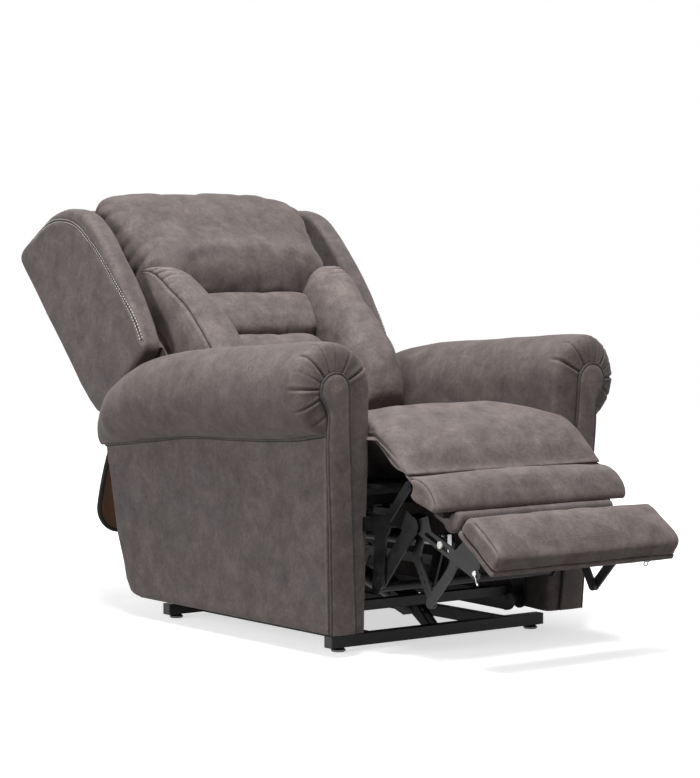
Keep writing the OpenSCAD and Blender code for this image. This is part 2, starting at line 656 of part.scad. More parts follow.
// the board's top runs between these two edges; down is square to it
board_rear = [-292, 311];
board_front = [-404, 230];
board_run = unit(board_front - board_rear);
board_down = [-board_run[1], board_run[0]];
module foot_arm(side) in_place() handed(side) color(black_steel) {
  under = board_rear + ply_t * board_down;
  slot = unit(toe_pivot - knee_pivot);
  plate(foot_arm_x, link_t) difference() {
    union() {
      bar(knee_pivot, toe_pivot, link_r);
      polygon([knee_pivot + [-2, 12], knee_pivot + [-44, 24], knee_pivot + [-60, -18], knee_pivot + [-10, -10]]);
      polygon([scissor_top + [6, 8], under + 15 * board_run, under + 76 * board_run, toe_pivot + [-6, -10]]);
    }
    hole(knee_pivot, pivot_r + run_gap);
    bar(knee_pivot + 40 * slot, knee_pivot + 122 * slot, 4.5);
  }
  pin(scissor_a_x - 2, link_gap + link_t + 2 + eps, scissor_top, pivot_r);
  pin(foot_arm_x + link_t + eps, 2.5, knee_pivot + 94 * slot, 8);
  pin(foot_arm_x, link_t + 1, knee_pivot + 94 * slot, 4.45);
}
module foot_board() in_place() color(plywood) plate(-foot_w / 2 + 6, foot_w - 12)
  polygon([board_rear, board_front, board_front + ply_t * board_down, board_rear + ply_t * board_down]);
module foot_pad() in_place() color(suede) {
  up = -rest_gap * board_down;
  upholstered(foot_w / 2, [board_rear + up + 2 * board_run, board_front + up - 1 * board_run, [-412, 240], [-421, 251],
    [-424, 264], [-416, 278], [-390, 300], [-338, 336], [-325, 342], [-309, 338], [-298, 326]], 6, 290);
}

module scissor_front() in_place() color(black_steel) for (side = [-1, 1]) handed(side) {
  plate(scissor_a_x, link_t) difference() {
    union() {
      bent_bar(scissor_foot, scissor_bend, scissor_top, 12);
    }
    hole(scissor_top, pivot_r + run_gap);
  }
  pin(scissor_b_x - 2, link_gap + link_t + 2 + eps, scissor_foot, pivot_r);
}
module scissor_rear() in_place() color(black_steel) for (side = [-1, 1]) handed(side)
  plate(scissor_b_x, link_t) difference() {
    union() {
      bent_bar(scissor_foot, scissor_hole, scissor_free, 12);
    }
    hole(scissor_foot, pivot_r + run_gap);
    for (k = [0.46, 0.64]) hole(scissor_foot + k * (scissor_hole - scissor_foot), 3);
  }

// --- calf rest, sewn to the front of the seat ---
calf_outline = concat(arc_points(calf_seam, seam_r, 126, 224, 5),
  [[-150, 362], [-226, 341], [-233, 352], [-229, 368], [-216, 388], [-196, 405], [-165, 416]]);
calf_board_outline = [[-146, 361], [-214, 342.5], [-212, 330.3], [-143, 349]];
// a rod in the crease between the pads, held by the side plates, with straps down to the calf board
module calf_hinge() in_place() color(black_steel) {
  pin(-plate_x - plate_t - 1, 2 * (plate_x + plate_t + 1), calf_seam, pivot_r);
  for (x = [-200, 0, 200]) plate(x - 2.5, 5) polygon([[-144.8, 356.5], [-124, 399], [-112, 391], [-133, 349],
    [-143.2, 350]]);
}
module calf_pad() in_place() color(suede) upholstered(seat_half - 5, calf_outline, 8, 385);
module calf_board() in_place() color(plywood) plate(-foot_arm_x + 4, 2 * foot_arm_x - 8)
  polygon([for (p = calf_board_outline) p - [0, rest_gap]]);
module mid_flap() in_place() color(suede_dark) upholstered(scissor_b_x - 2, [[-140, 346], [-225, 325], [-232, 341],
  [-239, 347], [-246, 343], [-246, 333], [-240, 316], [-229, 311], [-190, 318], [-142, 330]], 0, 999);

base_front_bar();
base_rear_bar();
base_rails();
bar_end_caps();
levelling_feet();
pivot_bracket(1);  // pivot_bracket_left
pivot_bracket(-1);  // pivot_bracket_right
lift_motor_clevis();
lift_arm(1);  // lift_arm_left
lift_arm(-1);  // lift_arm_right
lift_cross_tube();
lift_torque_tube();
lift_link(1);  // lift_link_left
lift_link(-1);  // lift_link_right
lift_motor();
lift_rod();
side_plate(1);  // side_plate_left
side_plate(-1);  // side_plate_right
seat_rails();
seat_deck();
seat_cushion();
arm_board(1);  // arm_board_left
arm_board(-1);  // arm_board_right
arm_side(1);  // arm_side_left
arm_side(-1);  // arm_side_right
arm_roll(1);  // arm_roll_left
arm_roll(-1);  // arm_roll_right
arm_front(1);  // arm_front_left
arm_front(-1);  // arm_front_right
rear_rail();
leg_motor();
leg_motor_rod();
back_motor();
back_motor_rod();
back_hinge(1);  // back_hinge_left
back_hinge(-1);  // back_hinge_right
back_frame();
back_panel();
back_core();
wing(1);  // wing_left
wing(-1);  // wing_right
headrest();
lumbar_upper();
lumbar_lower();
bolster(1);  // bolster_left
bolster(-1);  // bolster_right
rear_flap();
leg_link(1);  // leg_link_left
leg_link(-1);  // leg_link_right
leg_torque_tube();
foot_arm(1);  // foot_arm_left
foot_arm(-1);  // foot_arm_right
foot_board();
foot_pad();
scissor_front();
scissor_rear();
calf_hinge();
calf_board();
calf_pad();
mid_flap();
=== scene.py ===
"""Looks for the lift recliner chair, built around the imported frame."""
import json
import math

import bmesh
import bpy
import numpy as np
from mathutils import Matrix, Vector, noise
from mathutils.bvhtree import BVHTree
from mathutils.kdtree import KDTree


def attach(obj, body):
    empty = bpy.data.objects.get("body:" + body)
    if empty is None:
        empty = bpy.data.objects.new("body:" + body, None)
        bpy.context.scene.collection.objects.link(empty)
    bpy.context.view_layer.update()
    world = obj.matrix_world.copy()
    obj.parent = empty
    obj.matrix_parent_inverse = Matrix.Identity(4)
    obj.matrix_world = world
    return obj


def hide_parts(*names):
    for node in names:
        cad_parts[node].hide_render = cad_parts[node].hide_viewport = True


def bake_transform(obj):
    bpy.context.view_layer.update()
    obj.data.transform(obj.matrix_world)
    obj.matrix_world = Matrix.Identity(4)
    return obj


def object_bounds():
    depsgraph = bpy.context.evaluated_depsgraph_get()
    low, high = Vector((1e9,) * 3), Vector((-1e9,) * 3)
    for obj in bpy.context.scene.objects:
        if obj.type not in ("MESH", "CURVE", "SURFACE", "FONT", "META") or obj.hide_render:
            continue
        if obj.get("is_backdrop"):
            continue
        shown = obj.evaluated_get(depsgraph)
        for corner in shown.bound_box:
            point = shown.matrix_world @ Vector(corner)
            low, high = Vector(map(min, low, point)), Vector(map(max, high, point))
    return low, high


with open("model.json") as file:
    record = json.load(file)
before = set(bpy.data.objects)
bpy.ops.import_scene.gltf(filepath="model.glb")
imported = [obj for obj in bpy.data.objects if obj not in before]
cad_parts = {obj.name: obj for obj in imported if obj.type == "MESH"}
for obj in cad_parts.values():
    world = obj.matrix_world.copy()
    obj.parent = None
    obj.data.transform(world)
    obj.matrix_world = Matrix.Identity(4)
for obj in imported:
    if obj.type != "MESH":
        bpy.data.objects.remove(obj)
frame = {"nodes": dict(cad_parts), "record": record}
CAD_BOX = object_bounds()
SCENE = bpy.context.scene
TAG = {1: "left", -1: "right"}

# Design frame: millimetres, y from the plane of the arm fronts. The row frame is metres, 480 mm further back.
ORIGIN_BACK = 480.0
SEAT_HALF = 292.0
ROLL_X = 384.0
ROLL_RX = 91.0
LOBE_R = 39.0
LOBE_Z = 605.0
ARM_FLOOR = 52.0
FRONT_LEAN = 24.0
BACK_FOOT = (1002.0, 485.0)
BACK_TURN = math.radians(46.3)
CORE_TOP = 238.0
WING_X = 327.0
WING_T = 58.0
COVER_HALF = 286.4
FOOT_HALF = 269.4
CLOTH_FRAMES = 20
CLOTH_VOXEL = 0.009


def row(p):
    """Design millimetres to row-frame metres."""
    p = np.asarray(p, float)
    out = p / 1000.0
    out[..., 1] = (p[..., 1] - ORIGIN_BACK) / 1000.0
    return out


def design(p):
    """Row-frame metres to design millimetres."""
    out = p * 1000
    out[..., 1] += ORIGIN_BACK
    return out


def back(x, u, n):
    """A point in the back's own plane: u up the slope, n forwards from its rear panel."""
    c, s = math.cos(BACK_TURN), math.sin(BACK_TURN)
    x, u, n = np.broadcast_arrays(np.asarray(x, float), np.asarray(u, float), np.asarray(n, float))
    return stack(x, BACK_FOOT[0] + u * c - n * s, BACK_FOOT[1] + u * s + n * c)


def smoothstep(a, b, v):
    t = np.clip((np.asarray(v, float) - a) / (b - a), 0, 1)
    return t * t * (3 - 2 * t)


def power(v, e):
    """A signed power, for squared-off circles."""
    return np.sign(v) * np.abs(v) ** e


def between(table, v):
    """Straight lines through (v, value) pairs."""
    return np.interp(v, *zip(*table))


def curve(points, v):
    """A smooth curve through a few given (v, value) pairs."""
    pts = np.asarray(points, float)
    v = np.asarray(v, float)
    k = np.clip(np.searchsorted(pts[:, 0], v) - 1, 0, len(pts) - 2)
    slope = np.gradient(pts[:, 1], pts[:, 0])
    h = pts[k + 1, 0] - pts[k, 0]
    t = np.clip((v - pts[k, 0]) / h, 0, 1)
    a, b = pts[k, 1], pts[k + 1, 1]
    return ((1 + 2 * t) * (1 - t) ** 2 * a + t * (1 - t) ** 2 * h * slope[k]
            + t * t * (3 - 2 * t) * b + t * t * (t - 1) * h * slope[k + 1])


def stack(*parts):
    """Points from separate coordinates."""
    return np.stack(parts, -1)


def circle(n):
    """The angles of n points round a circle."""
    return np.linspace(0, 2 * math.pi, n, endpoint=False)


def steps_of(path):
    """The length of each step along a path."""
    return np.linalg.norm(np.diff(path, axis=0), axis=1)


def along(path):
    """How far along a path each of its points lies."""
    return np.r_[0, np.cumsum(steps_of(path))]


def resample(points, n, closed=False):
    """n points spaced evenly along a polyline."""
    p = np.asarray(points, float)
    if closed:
        p = np.vstack([p, p[:1]])
    d = along(p)
    s = np.linspace(0, d[-1], n + 1 if closed else n)
    if closed:
        s = s[:-1]
    return np.stack([np.interp(s, d, p[:, k]) for k in range(p.shape[1])], -1)


def rounded(points, rounds=2, closed=True):
    """Corner cutting on an outline."""
    p = np.asarray(points, float)
    for _ in range(rounds):
        a, b = (p, np.roll(p, -1, axis=0)) if closed else (p[:-1], p[1:])
        cut = np.stack([0.75 * a + 0.25 * b, 0.25 * a + 0.75 * b], 1).reshape(-1, p.shape[1])
        p = cut if closed else np.vstack([p[:1], cut, p[-1:]])
    return p


def soft_noise(p, scale, seed=0.0):
    """Smooth noise about 0 for points in millimetres, with features about scale wide."""
    flat = [noise.noise(Vector((q[0] / scale + seed, q[1] / scale - seed, q[2] / scale)))
            for q in p.reshape(-1, 3)]
    return np.array(flat).reshape(p.shape[:-1])


def unit(v):
    return v / (np.linalg.norm(v, axis=-1, keepdims=True) + 1e-9)


def make(name, verts, faces, material=None):
    me = bpy.data.meshes.new(name)
    me.from_pydata([tuple(v) for v in verts], [], faces)
    me.validate()
    me.update()
    ob = bpy.data.objects.new(name, me)
    SCENE.collection.objects.link(ob)
    me.polygons.foreach_set("use_smooth", [True] * len(me.polygons))
    if material:
        me.materials.append(material)
    return ob


def grid(name, p, material=None, wrap_m=False, wrap_n=False, caps=False):
    """A skin over an m by n grid of design points."""
    m, n = p.shape[:2]
    i, j = np.meshgrid(np.arange(m if wrap_m else m - 1), np.arange(n if wrap_n else n - 1), indexing="ij")
    a, b = (i + 1) % m, (j + 1) % n
    faces = stack(i * n + j, i * n + b, a * n + b, a * n + j).reshape(-1, 4).tolist()
    if caps:
        faces += [list(range(n))[::-1], [(m - 1) * n + k for k in range(n)]]
    return make(name, row(p).reshape(-1, 3), faces, material)


def outward(ob):
    """Faces turned outwards."""
    bm = bmesh.new()
    bm.from_mesh(ob.data)
    bmesh.ops.recalc_face_normals(bm, faces=bm.faces)
    bm.to_mesh(ob.data)
    bm.free()
    return ob


def closed_skin(name, p, material):
    """The outward skin of a stack of closed rings, capped at both ends."""
    return outward(grid(name, p, material, wrap_n=True, caps=True))


def tube(name, path, r, material, sides=8, closed=False, squash=1.0):
    """A round cord along a path of design points; r may vary along it."""
    p = np.asarray(path, float)
    n = len(p)
    r = np.broadcast_to(np.asarray(r, float), (n,))
    t = unit(np.roll(p, -1, axis=0) - np.roll(p, 1, axis=0) if closed else np.gradient(p, axis=0))
    a = np.cross(t[0], [0, 0, 1.0])
    if np.linalg.norm(a) < 0.1:
        a = np.cross(t[0], [1.0, 0, 0])
    w = circle(sides)[:, None]
    rings = []
    for k in range(n):
        a = unit(a - np.dot(a, t[k]) * t[k])
        b = np.cross(t[k], a)
        rings.append(p[k] + r[k] * (np.cos(w) * a + squash * np.sin(w) * b))
    return outward(grid(name, np.array(rings), material, wrap_m=closed, wrap_n=True, caps=not closed))


def join(name, obs):
    """Several meshes as one object."""
    verts, faces, mats, idx = [], [], [], []
    for o in obs:
        off = len(verts)
        verts += [tuple(o.matrix_world @ v.co) for v in o.data.vertices]
        slot_of = []
        for m in o.data.materials:
            if m not in mats:
                mats.append(m)
            slot_of.append(mats.index(m))
        for f in o.data.polygons:
            faces.append(tuple(off + v for v in f.vertices))
            idx.append(slot_of[f.material_index])
        bpy.data.objects.remove(o, do_unlink=True)
    ob = make(name, verts, faces)
    for m in mats:
        ob.data.materials.append(m)
    ob.data.polygons.foreach_set("material_index", idx)
    return ob


def settled(ob):
    """The object with its modifiers applied."""
    dg = bpy.context.evaluated_depsgraph_get()
    me = bpy.data.meshes.new_from_object(ob.evaluated_get(dg))
    ob.modifiers.clear()
    ob.data = me
    me.polygons.foreach_set("use_smooth", [True] * len(me.polygons))
    return ob


def points_of(me, what="co"):
    """The places or normals of a mesh's vertices."""
    a = np.empty(len(me.vertices) * 3)
    me.vertices.foreach_get(what, a)
    return a.reshape(-1, 3)


def set_coords(ob, a):
    ob.data.vertices.foreach_set("co", np.ascontiguousarray(a, float).ravel())
    ob.data.update()


# ---------------------------------------------------------------- materials
def feed(nt, socket, v):
    """Sets a socket: a number or a colour on the socket itself, the output of a node by a link."""
    if isinstance(v, bpy.types.NodeSocket):
        nt.links.new(v, socket)
    elif v is not None:
        socket.default_value = v


def node(nt, kind, *first, **values):
    """A node, its first inputs in order; each named value is an attribute or else an input, _ for a space."""
    n = nt.nodes.new("ShaderNode" + kind)
    for k, v in values.items():
        if hasattr(n, k):
            setattr(n, k, v)
        else:
            feed(nt, n.inputs[k.replace("_", " ")], v)
    for k, v in enumerate(first):
        feed(nt, n.inputs[k], v)
    return n


def plug(nt, shader, **inputs):
    for k, v in inputs.items():
        feed(nt, shader.inputs[k.replace("_", " ")], v)


def new_material(name):
    """A material with its tree, its shader and its object coordinates."""
    m = bpy.data.materials.new(name)
    m.use_nodes = True
    nt = m.node_tree
    nt.nodes.clear()
    b = node(nt, "BsdfPrincipled")
    node(nt, "OutputMaterial", b.outputs[0])
    return m, nt, b, node(nt, "TexCoord").outputs["Object"]


def noise_node(nt, coord, scale, detail=4.0, rough=0.55, distortion=0.0):
    return node(nt, "TexNoise", coord, Scale=scale, Detail=detail, Roughness=rough,
                Distortion=distortion).outputs["Fac"]


def ramp(nt, fac, stops):
    """A colour ramp; a stop that is a plain number is a grey."""
    r = node(nt, "ValToRGB", fac)
    els = r.color_ramp.elements
    while len(els) < len(stops):
        els.new(0.5)
    for e, (pos, col) in zip(els, stops):
        e.position = pos
        e.color = (*col, 1) if isinstance(col, tuple) else (col, col, col, 1)
    return r.outputs[0]


def mix(nt, fac, a, b, mode="MIX"):
    m = node(nt, "Mix", data_type="RGBA", blend_type=mode)
    for k, v in ((0, fac), (6, a), (7, b)):
        feed(nt, m.inputs[k], (*v, 1) if isinstance(v, tuple) else v)
    return m.outputs[2]


def bump(nt, height, strength, distance, normal=None):
    return node(nt, "Bump", Strength=strength, Distance=distance, Height=height, Normal=normal).outputs[0]


def round_edges(nt, radius):
    return node(nt, "Bevel", samples=4, Radius=radius).outputs[0]


def suede(name, tint=(1.0, 1.0, 1.0), dark=1.0, crease_shade_and_rubbed_edges=True):
    """Brushed suede: cloudy patches between warm brown and blue grey, a brushed nap and a fine grain;
    optionally darker in creases as painted shade and lighter on sharp ridges, partly rubbed wear and partly a
    painted sheen.
    """
    m, nt, b, co = new_material(name)

    def col(red, green, blue):
        return red * tint[0] * dark, green * tint[1] * dark * 0.972, blue * tint[2] * dark * 0.965

    cloud = noise_node(nt, co, 19.0, 7.0, 0.68, 0.35)
    hue = noise_node(nt, co, 9.0, 5.0, 0.6, 0.3)
    fine = noise_node(nt, co, 120.0, 5.0, 0.7, 0.8)
    speck = noise_node(nt, co, 420.0, 3.0, 0.75, 0.4)
    warm = ramp(nt, cloud, [(0.30, col(0.094, 0.079, 0.075)), (0.5, col(0.134, 0.112, 0.106)),
                            (0.70, col(0.186, 0.156, 0.147))])
    cool = ramp(nt, cloud, [(0.30, col(0.091, 0.079, 0.077)), (0.5, col(0.128, 0.111, 0.108)),
                            (0.70, col(0.175, 0.151, 0.146))])
    body = mix(nt, ramp(nt, hue, [(0.36, 0), (0.66, 1)]), warm, cool)
    body = mix(nt, 1.0, body, ramp(nt, fine, [(0.30, 0.82), (0.5, 1), (0.72, (1.20, 1.19, 1.18))]),
               "MULTIPLY")
    body = mix(nt, 1.0, body, ramp(nt, speck, [(0.32, 0.84), (0.5, 1), (0.68, 1.17)]), "MULTIPLY")
    # Pointiness paints shade into creases and lightens sharp ridges: partly rubbed wear, partly a painted
    # sheen.
    if crease_shade_and_rubbed_edges:
        crease_shade_and_wear = ramp(nt, node(nt, "NewGeometry").outputs["Pointiness"],
                    [(0.40, 0.30), (0.485, 0.90), (0.5, 1), (0.53, (1.22, 1.20, 1.18)),
                     (0.60, (1.4, 1.36, 1.33))])
        body = mix(nt, 1.0, body, crease_shade_and_wear, "MULTIPLY")
    nap = noise_node(nt, co, 210.0, 5.0, 0.68, 1.2)
    dents = bump(nt, noise_node(nt, co, 42.0, 4.0, 0.55, 0.5), 0.22, 0.003)
    brushed = bump(nt, nap, 0.30, 0.0012, dents)
    grain = bump(nt, noise_node(nt, co, 900.0, 3.0, 0.7), 0.40, 0.0004, brushed)
    plug(nt, b, Base_Color=body, Normal=grain, Roughness=ramp(nt, nap, [(0.3, 0.68), (0.7, 0.88)]),
         Specular_IOR_Level=0.2, Sheen_Weight=0.12, Sheen_Roughness=0.45, Sheen_Tint=(0.85, 0.78, 0.75, 1))
    return m


def metal(name, color, rough=0.4, metallic=0.0, edge=(0.10, 0.10, 0.11), spec=0.5, grain_scale=260.0):
    """Coated or bare steel: rounded edges that catch light, a fine coat texture and worn patches."""
    m, nt, b, co = new_material(name)
    smear = noise_node(nt, co, 18.0, 4.0, 0.6, 0.8)
    coat = bump(nt, noise_node(nt, co, grain_scale, 3.0, 0.6), 0.12, 0.0004, round_edges(nt, 0.0012))
    plug(nt, b, Base_Color=mix(nt, ramp(nt, smear, [(0.35, 0), (0.7, 0.35)]), color, edge), Normal=coat,
         Roughness=ramp(nt, smear, [(0.3, rough * 0.8), (0.7, min(1, rough * 1.25))]),
         Metallic=metallic, Specular_IOR_Level=spec)
    return m


def plastic(name, color, rough=0.5, grain_scale=420.0, strength=0.2):
    """Moulded plastic with a fine grain and a little dust."""
    m, nt, b, co = new_material(name)
    dust = noise_node(nt, co, 12.0, 4.0, 0.6)
    lighter = tuple(min(1, c * 1.35 + 0.01) for c in color)
    grain = bump(nt, noise_node(nt, co, grain_scale, 2.0, 0.5), strength, 0.0003, round_edges(nt, 0.0015))
    plug(nt, b, Base_Color=mix(nt, ramp(nt, dust, [(0.4, 0), (0.75, 0.5)]), color, lighter), Normal=grain,
         Roughness=ramp(nt, dust, [(0.3, rough * 0.85), (0.7, min(1, rough * 1.2))]))
    return m


def wood(name, dark_c, light_c, scale=(3.0, 60.0, 60.0), rough=0.55):
    """Plywood or hardboard: long drawn-out grain with pores."""
    m, nt, b, co = new_material(name)
    g = noise_node(nt, node(nt, "Mapping", co, Scale=scale).outputs[0], 2.2, 6.0, 0.6, 0.5)
    fleck = ramp(nt, noise_node(nt, co, 240.0, 2.0, 0.5), [(0.35, 0.75), (0.6, 1)])
    plug(nt, b, Base_Color=mix(nt, 0.5, ramp(nt, g, [(0.3, dark_c), (0.65, light_c)]), fleck, "MULTIPLY"),
         Normal=bump(nt, g, 0.15, 0.0006), Roughness=rough)
    return m


def felt(name, color):
    m, nt, b, co = new_material(name)
    fibre = noise_node(nt, co, 380.0, 5.0, 0.75, 2.0)
    plug(nt, b, Base_Color=mix(nt, noise_node(nt, co, 25.0, 3.0, 0.5), color, tuple(k * 1.5 for k in color)),
         Normal=bump(nt, fibre, 0.6, 0.001), Roughness=0.95, Specular_IOR_Level=0.15)
    return m


def thread(name, color):
    m, nt, b, co = new_material(name)
    w = noise_node(nt, co, 1500.0, 2.0, 0.5)
    plug(nt, b, Base_Color=mix(nt, ramp(nt, w, [(0.3, 0), (0.7, 1)]), color, tuple(c * 0.7 for c in color)),
         Normal=bump(nt, w, 0.5, 0.0003), Roughness=0.7)
    return m


SUEDE = suede("suede")
# A darker copy of the same suede: painted shade for the side panels, wings, back cover, flap and
# fabric-covered CAD parts.
SUEDE_SHADED_SIDE = suede("suede_shaded_side", (0.965, 0.985, 1.02), 0.84)
SUEDE_WELT = suede("suede_welt", (0.90, 0.96, 1.03), 0.52, crease_shade_and_rubbed_edges=False)
# Very dark suede for thin cords laid in and beside seams: a painted seam shadow.
SEAM_SHADOW_LINE = suede("seam_shadow", (1.0, 1.0, 1.0), 0.14, crease_shade_and_rubbed_edges=False)
# A darker copy of the same suede: painted shade for the arm covers and the headrest.
SUEDE_SHADED_ARM = suede("suede_shaded_arm", (0.99, 0.99, 1.0), 0.81)
BINDING = suede("vinyl_binding", (0.85, 0.98, 1.05), 0.22, crease_shade_and_rubbed_edges=False)
STITCH = thread("stitch_thread", (0.80, 0.76, 0.72))
STEEL = metal("black_powder_coat", (0.0045, 0.0045, 0.005), 0.40, edge=(0.03, 0.03, 0.032), spec=0.20)
STEEL_GREY = metal("dark_link_steel", (0.009, 0.009, 0.0095), 0.36, edge=(0.05, 0.05, 0.052), spec=0.28)
ROD = metal("rod_steel", (0.42, 0.43, 0.45), 0.28, 1.0, (0.6, 0.6, 0.62), grain_scale=500.0)
CHROME = metal("dark_plated_steel", (0.10, 0.10, 0.11), 0.22, 0.9, (0.3, 0.3, 0.32))
ZINC = metal("zinc_plated", (0.5, 0.5, 0.5), 0.35, 0.9, (0.62, 0.62, 0.6))
CAP = plastic("cap_plastic", (0.005, 0.005, 0.005), 0.5)
MOTOR = plastic("motor_plastic", (0.008, 0.008, 0.009), 0.45)
NYLON = plastic("white_nylon", (0.78, 0.77, 0.72), 0.4, 300.0, 0.08)
PLY = wood("plywood", (0.30, 0.19, 0.10), (0.50, 0.35, 0.21))
HARDBOARD = wood("hardboard", (0.12, 0.046, 0.018), (0.24, 0.098, 0.038), (30.0, 30.0, 6.0), 0.5)
FELT = felt("grey_felt", (0.022, 0.022, 0.024))

# ---------------------------------------------------------------- soft-piece helpers
def lean(z):
    """How far the leaning front of an arm lies behind y = 0 at height z."""
    return FRONT_LEAN * (LOBE_Z - np.asarray(z, float)) / (LOBE_Z - ARM_FLOOR)


def inset(outline, centre, d):
    """An outline drawn in by d towards its centre."""
    v = outline - centre
    r = np.linalg.norm(v, axis=-1, keepdims=True)
    return centre + v * np.maximum(0, 1 - d / np.maximum(r, 1))


def middle_of(ring):
    return (ring.max(0) + ring.min(0)) / 2


def swept(rows_):
    """Points (x, a, b) of outlines that stand at given x."""
    return np.array([np.column_stack([np.full(len(q), x), q]) for x, q in rows_])


def furrow(d, depth, width, ridge, at, spread):
    """A crease along d = 0 with a low ridge on each side of it."""
    return -depth * np.exp(-(d / width) ** 2) + ridge * np.exp(-((np.abs(d) - at) / spread) ** 2)


def grid_normals(p, wrap_n=False):
    """Unit normals of a grid of points."""
    q = np.concatenate([p[:, -1:], p, p[:, :1]], 1) if wrap_n else p
    n = unit(np.cross(np.gradient(q, axis=0), np.gradient(q, axis=1)))
    return n[:, 1:-1] if wrap_n else n


def displaced(p, amount):
    """Moves the points of a ring-built piece outwards."""
    n = grid_normals(p, wrap_n=True)
    if np.sum(n * (p - p.reshape(-1, 3).mean(0))) < 0:
        n = -n
    return p + n * amount[..., None]


def clouded(p, scale, seed, amount, small_scale, small_seed, small_amount):
    """The uneven fill of a stuffed piece, in two sizes of lump."""
    return soft_noise(p, scale, seed) * amount + soft_noise(p, small_scale, small_seed) * small_amount


SIMS = []


def cushioned(ob, held, pressure, cap):
    """Queues a cushion for inflation.

    held(points in mm) gives 1 where its cloth is sewn down or lies on its base.
    cap limits the movement, in metres.
    """
    cloth = ob.copy()
    cloth.data = ob.data.copy()
    SCENE.collection.objects.link(cloth)
    m = cloth.modifiers.new("remesh", "REMESH")
    m.mode = "VOXEL"
    m.voxel_size = CLOTH_VOXEL
    settled(cloth)
    start = points_of(cloth.data)
    w = held(design(start))
    g = cloth.vertex_groups.new(name="held")
    for level in (0.25, 0.5, 0.75, 1.0):
        ids = np.nonzero(np.abs(np.clip(w, 0, 1) - level) <= 0.125)[0]
        if len(ids):
            g.add([int(i) for i in ids], level, "REPLACE")
    c = cloth.modifiers.new("cloth", "CLOTH")
    s = c.settings
    s.quality = 4
    s.mass = 0.3
    s.tension_stiffness = s.compression_stiffness = 15
    s.shear_stiffness = 6
    s.bending_stiffness = 5.0
    s.air_damping = 2
    s.use_pressure = True
    s.uniform_pressure_force = pressure
    s.vertex_group_mass = "held"
    s.shrink_min = -0.006
    s.effector_weights.gravity = 0
    c.collision_settings.use_collision = False
    c.point_cache.frame_start = 1
    c.point_cache.frame_end = CLOTH_FRAMES
    SIMS.append((ob, cloth, start, cap))


def run_simulations():
    """Inflates the queued cloths together and carries how far they moved over to the pieces."""
    for f in range(1, CLOTH_FRAMES + 1):
        SCENE.frame_set(f)
    dg = bpy.context.evaluated_depsgraph_get()
    for ob, cloth, start, cap in SIMS:
        ev = cloth.evaluated_get(dg)
        d = points_of(ev.to_mesh()) - start
        ev.to_mesh_clear()
        r = np.linalg.norm(d, axis=1, keepdims=True)
        d *= np.minimum(1, cap / np.maximum(r, 1e-9))
        tree = KDTree(len(start))
        for i, v in enumerate(start):
            tree.insert(v, i)
        tree.balance()
        p = points_of(ob.data)
        moved = np.empty_like(p)
        for i, v in enumerate(p):
            near = tree.find_n(v, 16)
            w = np.array([1 / (n[2] + 0.008) ** 2 for n in near])
            moved[i] = (d[[n[1] for n in near]] * w[:, None]).sum(0) / w.sum()
        set_coords(ob, p + moved)
        bpy.data.objects.remove(cloth, do_unlink=True)
    SCENE.frame_set(1)


def distance_to(points, path):
    """Distance from each point to the nearest point of a path."""
    best = np.full(len(points), 1e9)
    for k in range(0, len(path), 64):
        d = np.linalg.norm(points[:, None, :] - path[None, k:k + 64, :], axis=2)
        best = np.minimum(best, d.min(1))
    return best


def snapped(ob, path_mm, lift=0.0):
    """A path of design points laid on the surface of a piece; lift is in millimetres along its normal."""
    tree = BVHTree.FromObject(ob, bpy.context.evaluated_depsgraph_get())
    hits = [tree.find_nearest(Vector(p)) for p in row(path_mm)]
    normals = np.array([np.array(h[1]) for h in hits])
    out = design(np.array([np.array(h[0]) for h in hits]) + normals * lift / 1000)
    for _ in range(2):
        out[1:-1] = (out[:-2] + 2 * out[1:-1] + out[2:]) / 4
    return out, normals


def crease(ob, path_mm, depth, width, puffed):
    """Presses a sewn line into a piece, with the cloth standing a little proud beside it."""
    v = points_of(ob.data)
    d = distance_to(design(v), resample(path_mm, max(8, int(steps_of(path_mm).sum() / 4))))
    push = furrow(d, depth, width, puffed, 2.2 * width, 1.2 * width)
    set_coords(ob, v + points_of(ob.data, "normal") * push[:, None] / 1000)


def seam(name, ob, path_mm, r, depth, width, puffed):
    """A sewn seam: a pressed line with a very dark cord laid in it, a painted seam shadow."""
    on, _ = snapped(ob, resample(path_mm, max(12, int(steps_of(path_mm).sum() / 7))))
    crease(ob, on, depth, width, puffed)
    on, _ = snapped(ob, on, -0.25)
    return tube(name, on, r, SEAM_SHADOW_LINE, 6)


def stitch_line(name, path, normals, pitch, length, r, lift):
    """A row of separate stitches along a path of design points."""
    d = along(path)

    def at(s, table):
        return np.array([np.interp(s, d, table[:, k]) for k in range(3)])

    out = []
    for s in np.arange(pitch / 2, d[-1] - length, pitch):
        arch = ((0, 0.0), (0.25, 0.8), (0.5, 1.0), (0.75, 0.8), (1, 0.0))
        out.append(tube("st", [at(s + length * f, path) + at(s, normals) * (lift * h) for f, h in arch], r,
                        STITCH, 5))
    return join(name, out)


def trim(ob, body):
    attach(ob, body)
    return ob


def soft(ob, body, *nodes, fill):
    """Hides the named nodes that a padded piece stands for, and attaches the piece to its body."""
    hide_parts(*nodes)
    if body:
        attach(ob, body)


# ---------------------------------------------------------------- arms
# Of the arm along y: the underside of its roll, its top, and its rear edge as (z, y).
PIPE = [(0, 509), (70, 498), (148, 488), (257, 481), (378, 476), (554, 470), (743, 450), (923, 429),
        (1000, 421)]
TOP = [(-20, 710), (26, 712), (210, 703), (327, 694), (467, 685), (600, 671), (739, 643), (864, 588),
       (948, 534), (990, 486)]
REAR = [(ARM_FLOOR, 838), (66, 866), (98, 885), (141, 893), (219, 915), (389, 938), (428, 946), (600, 960)]
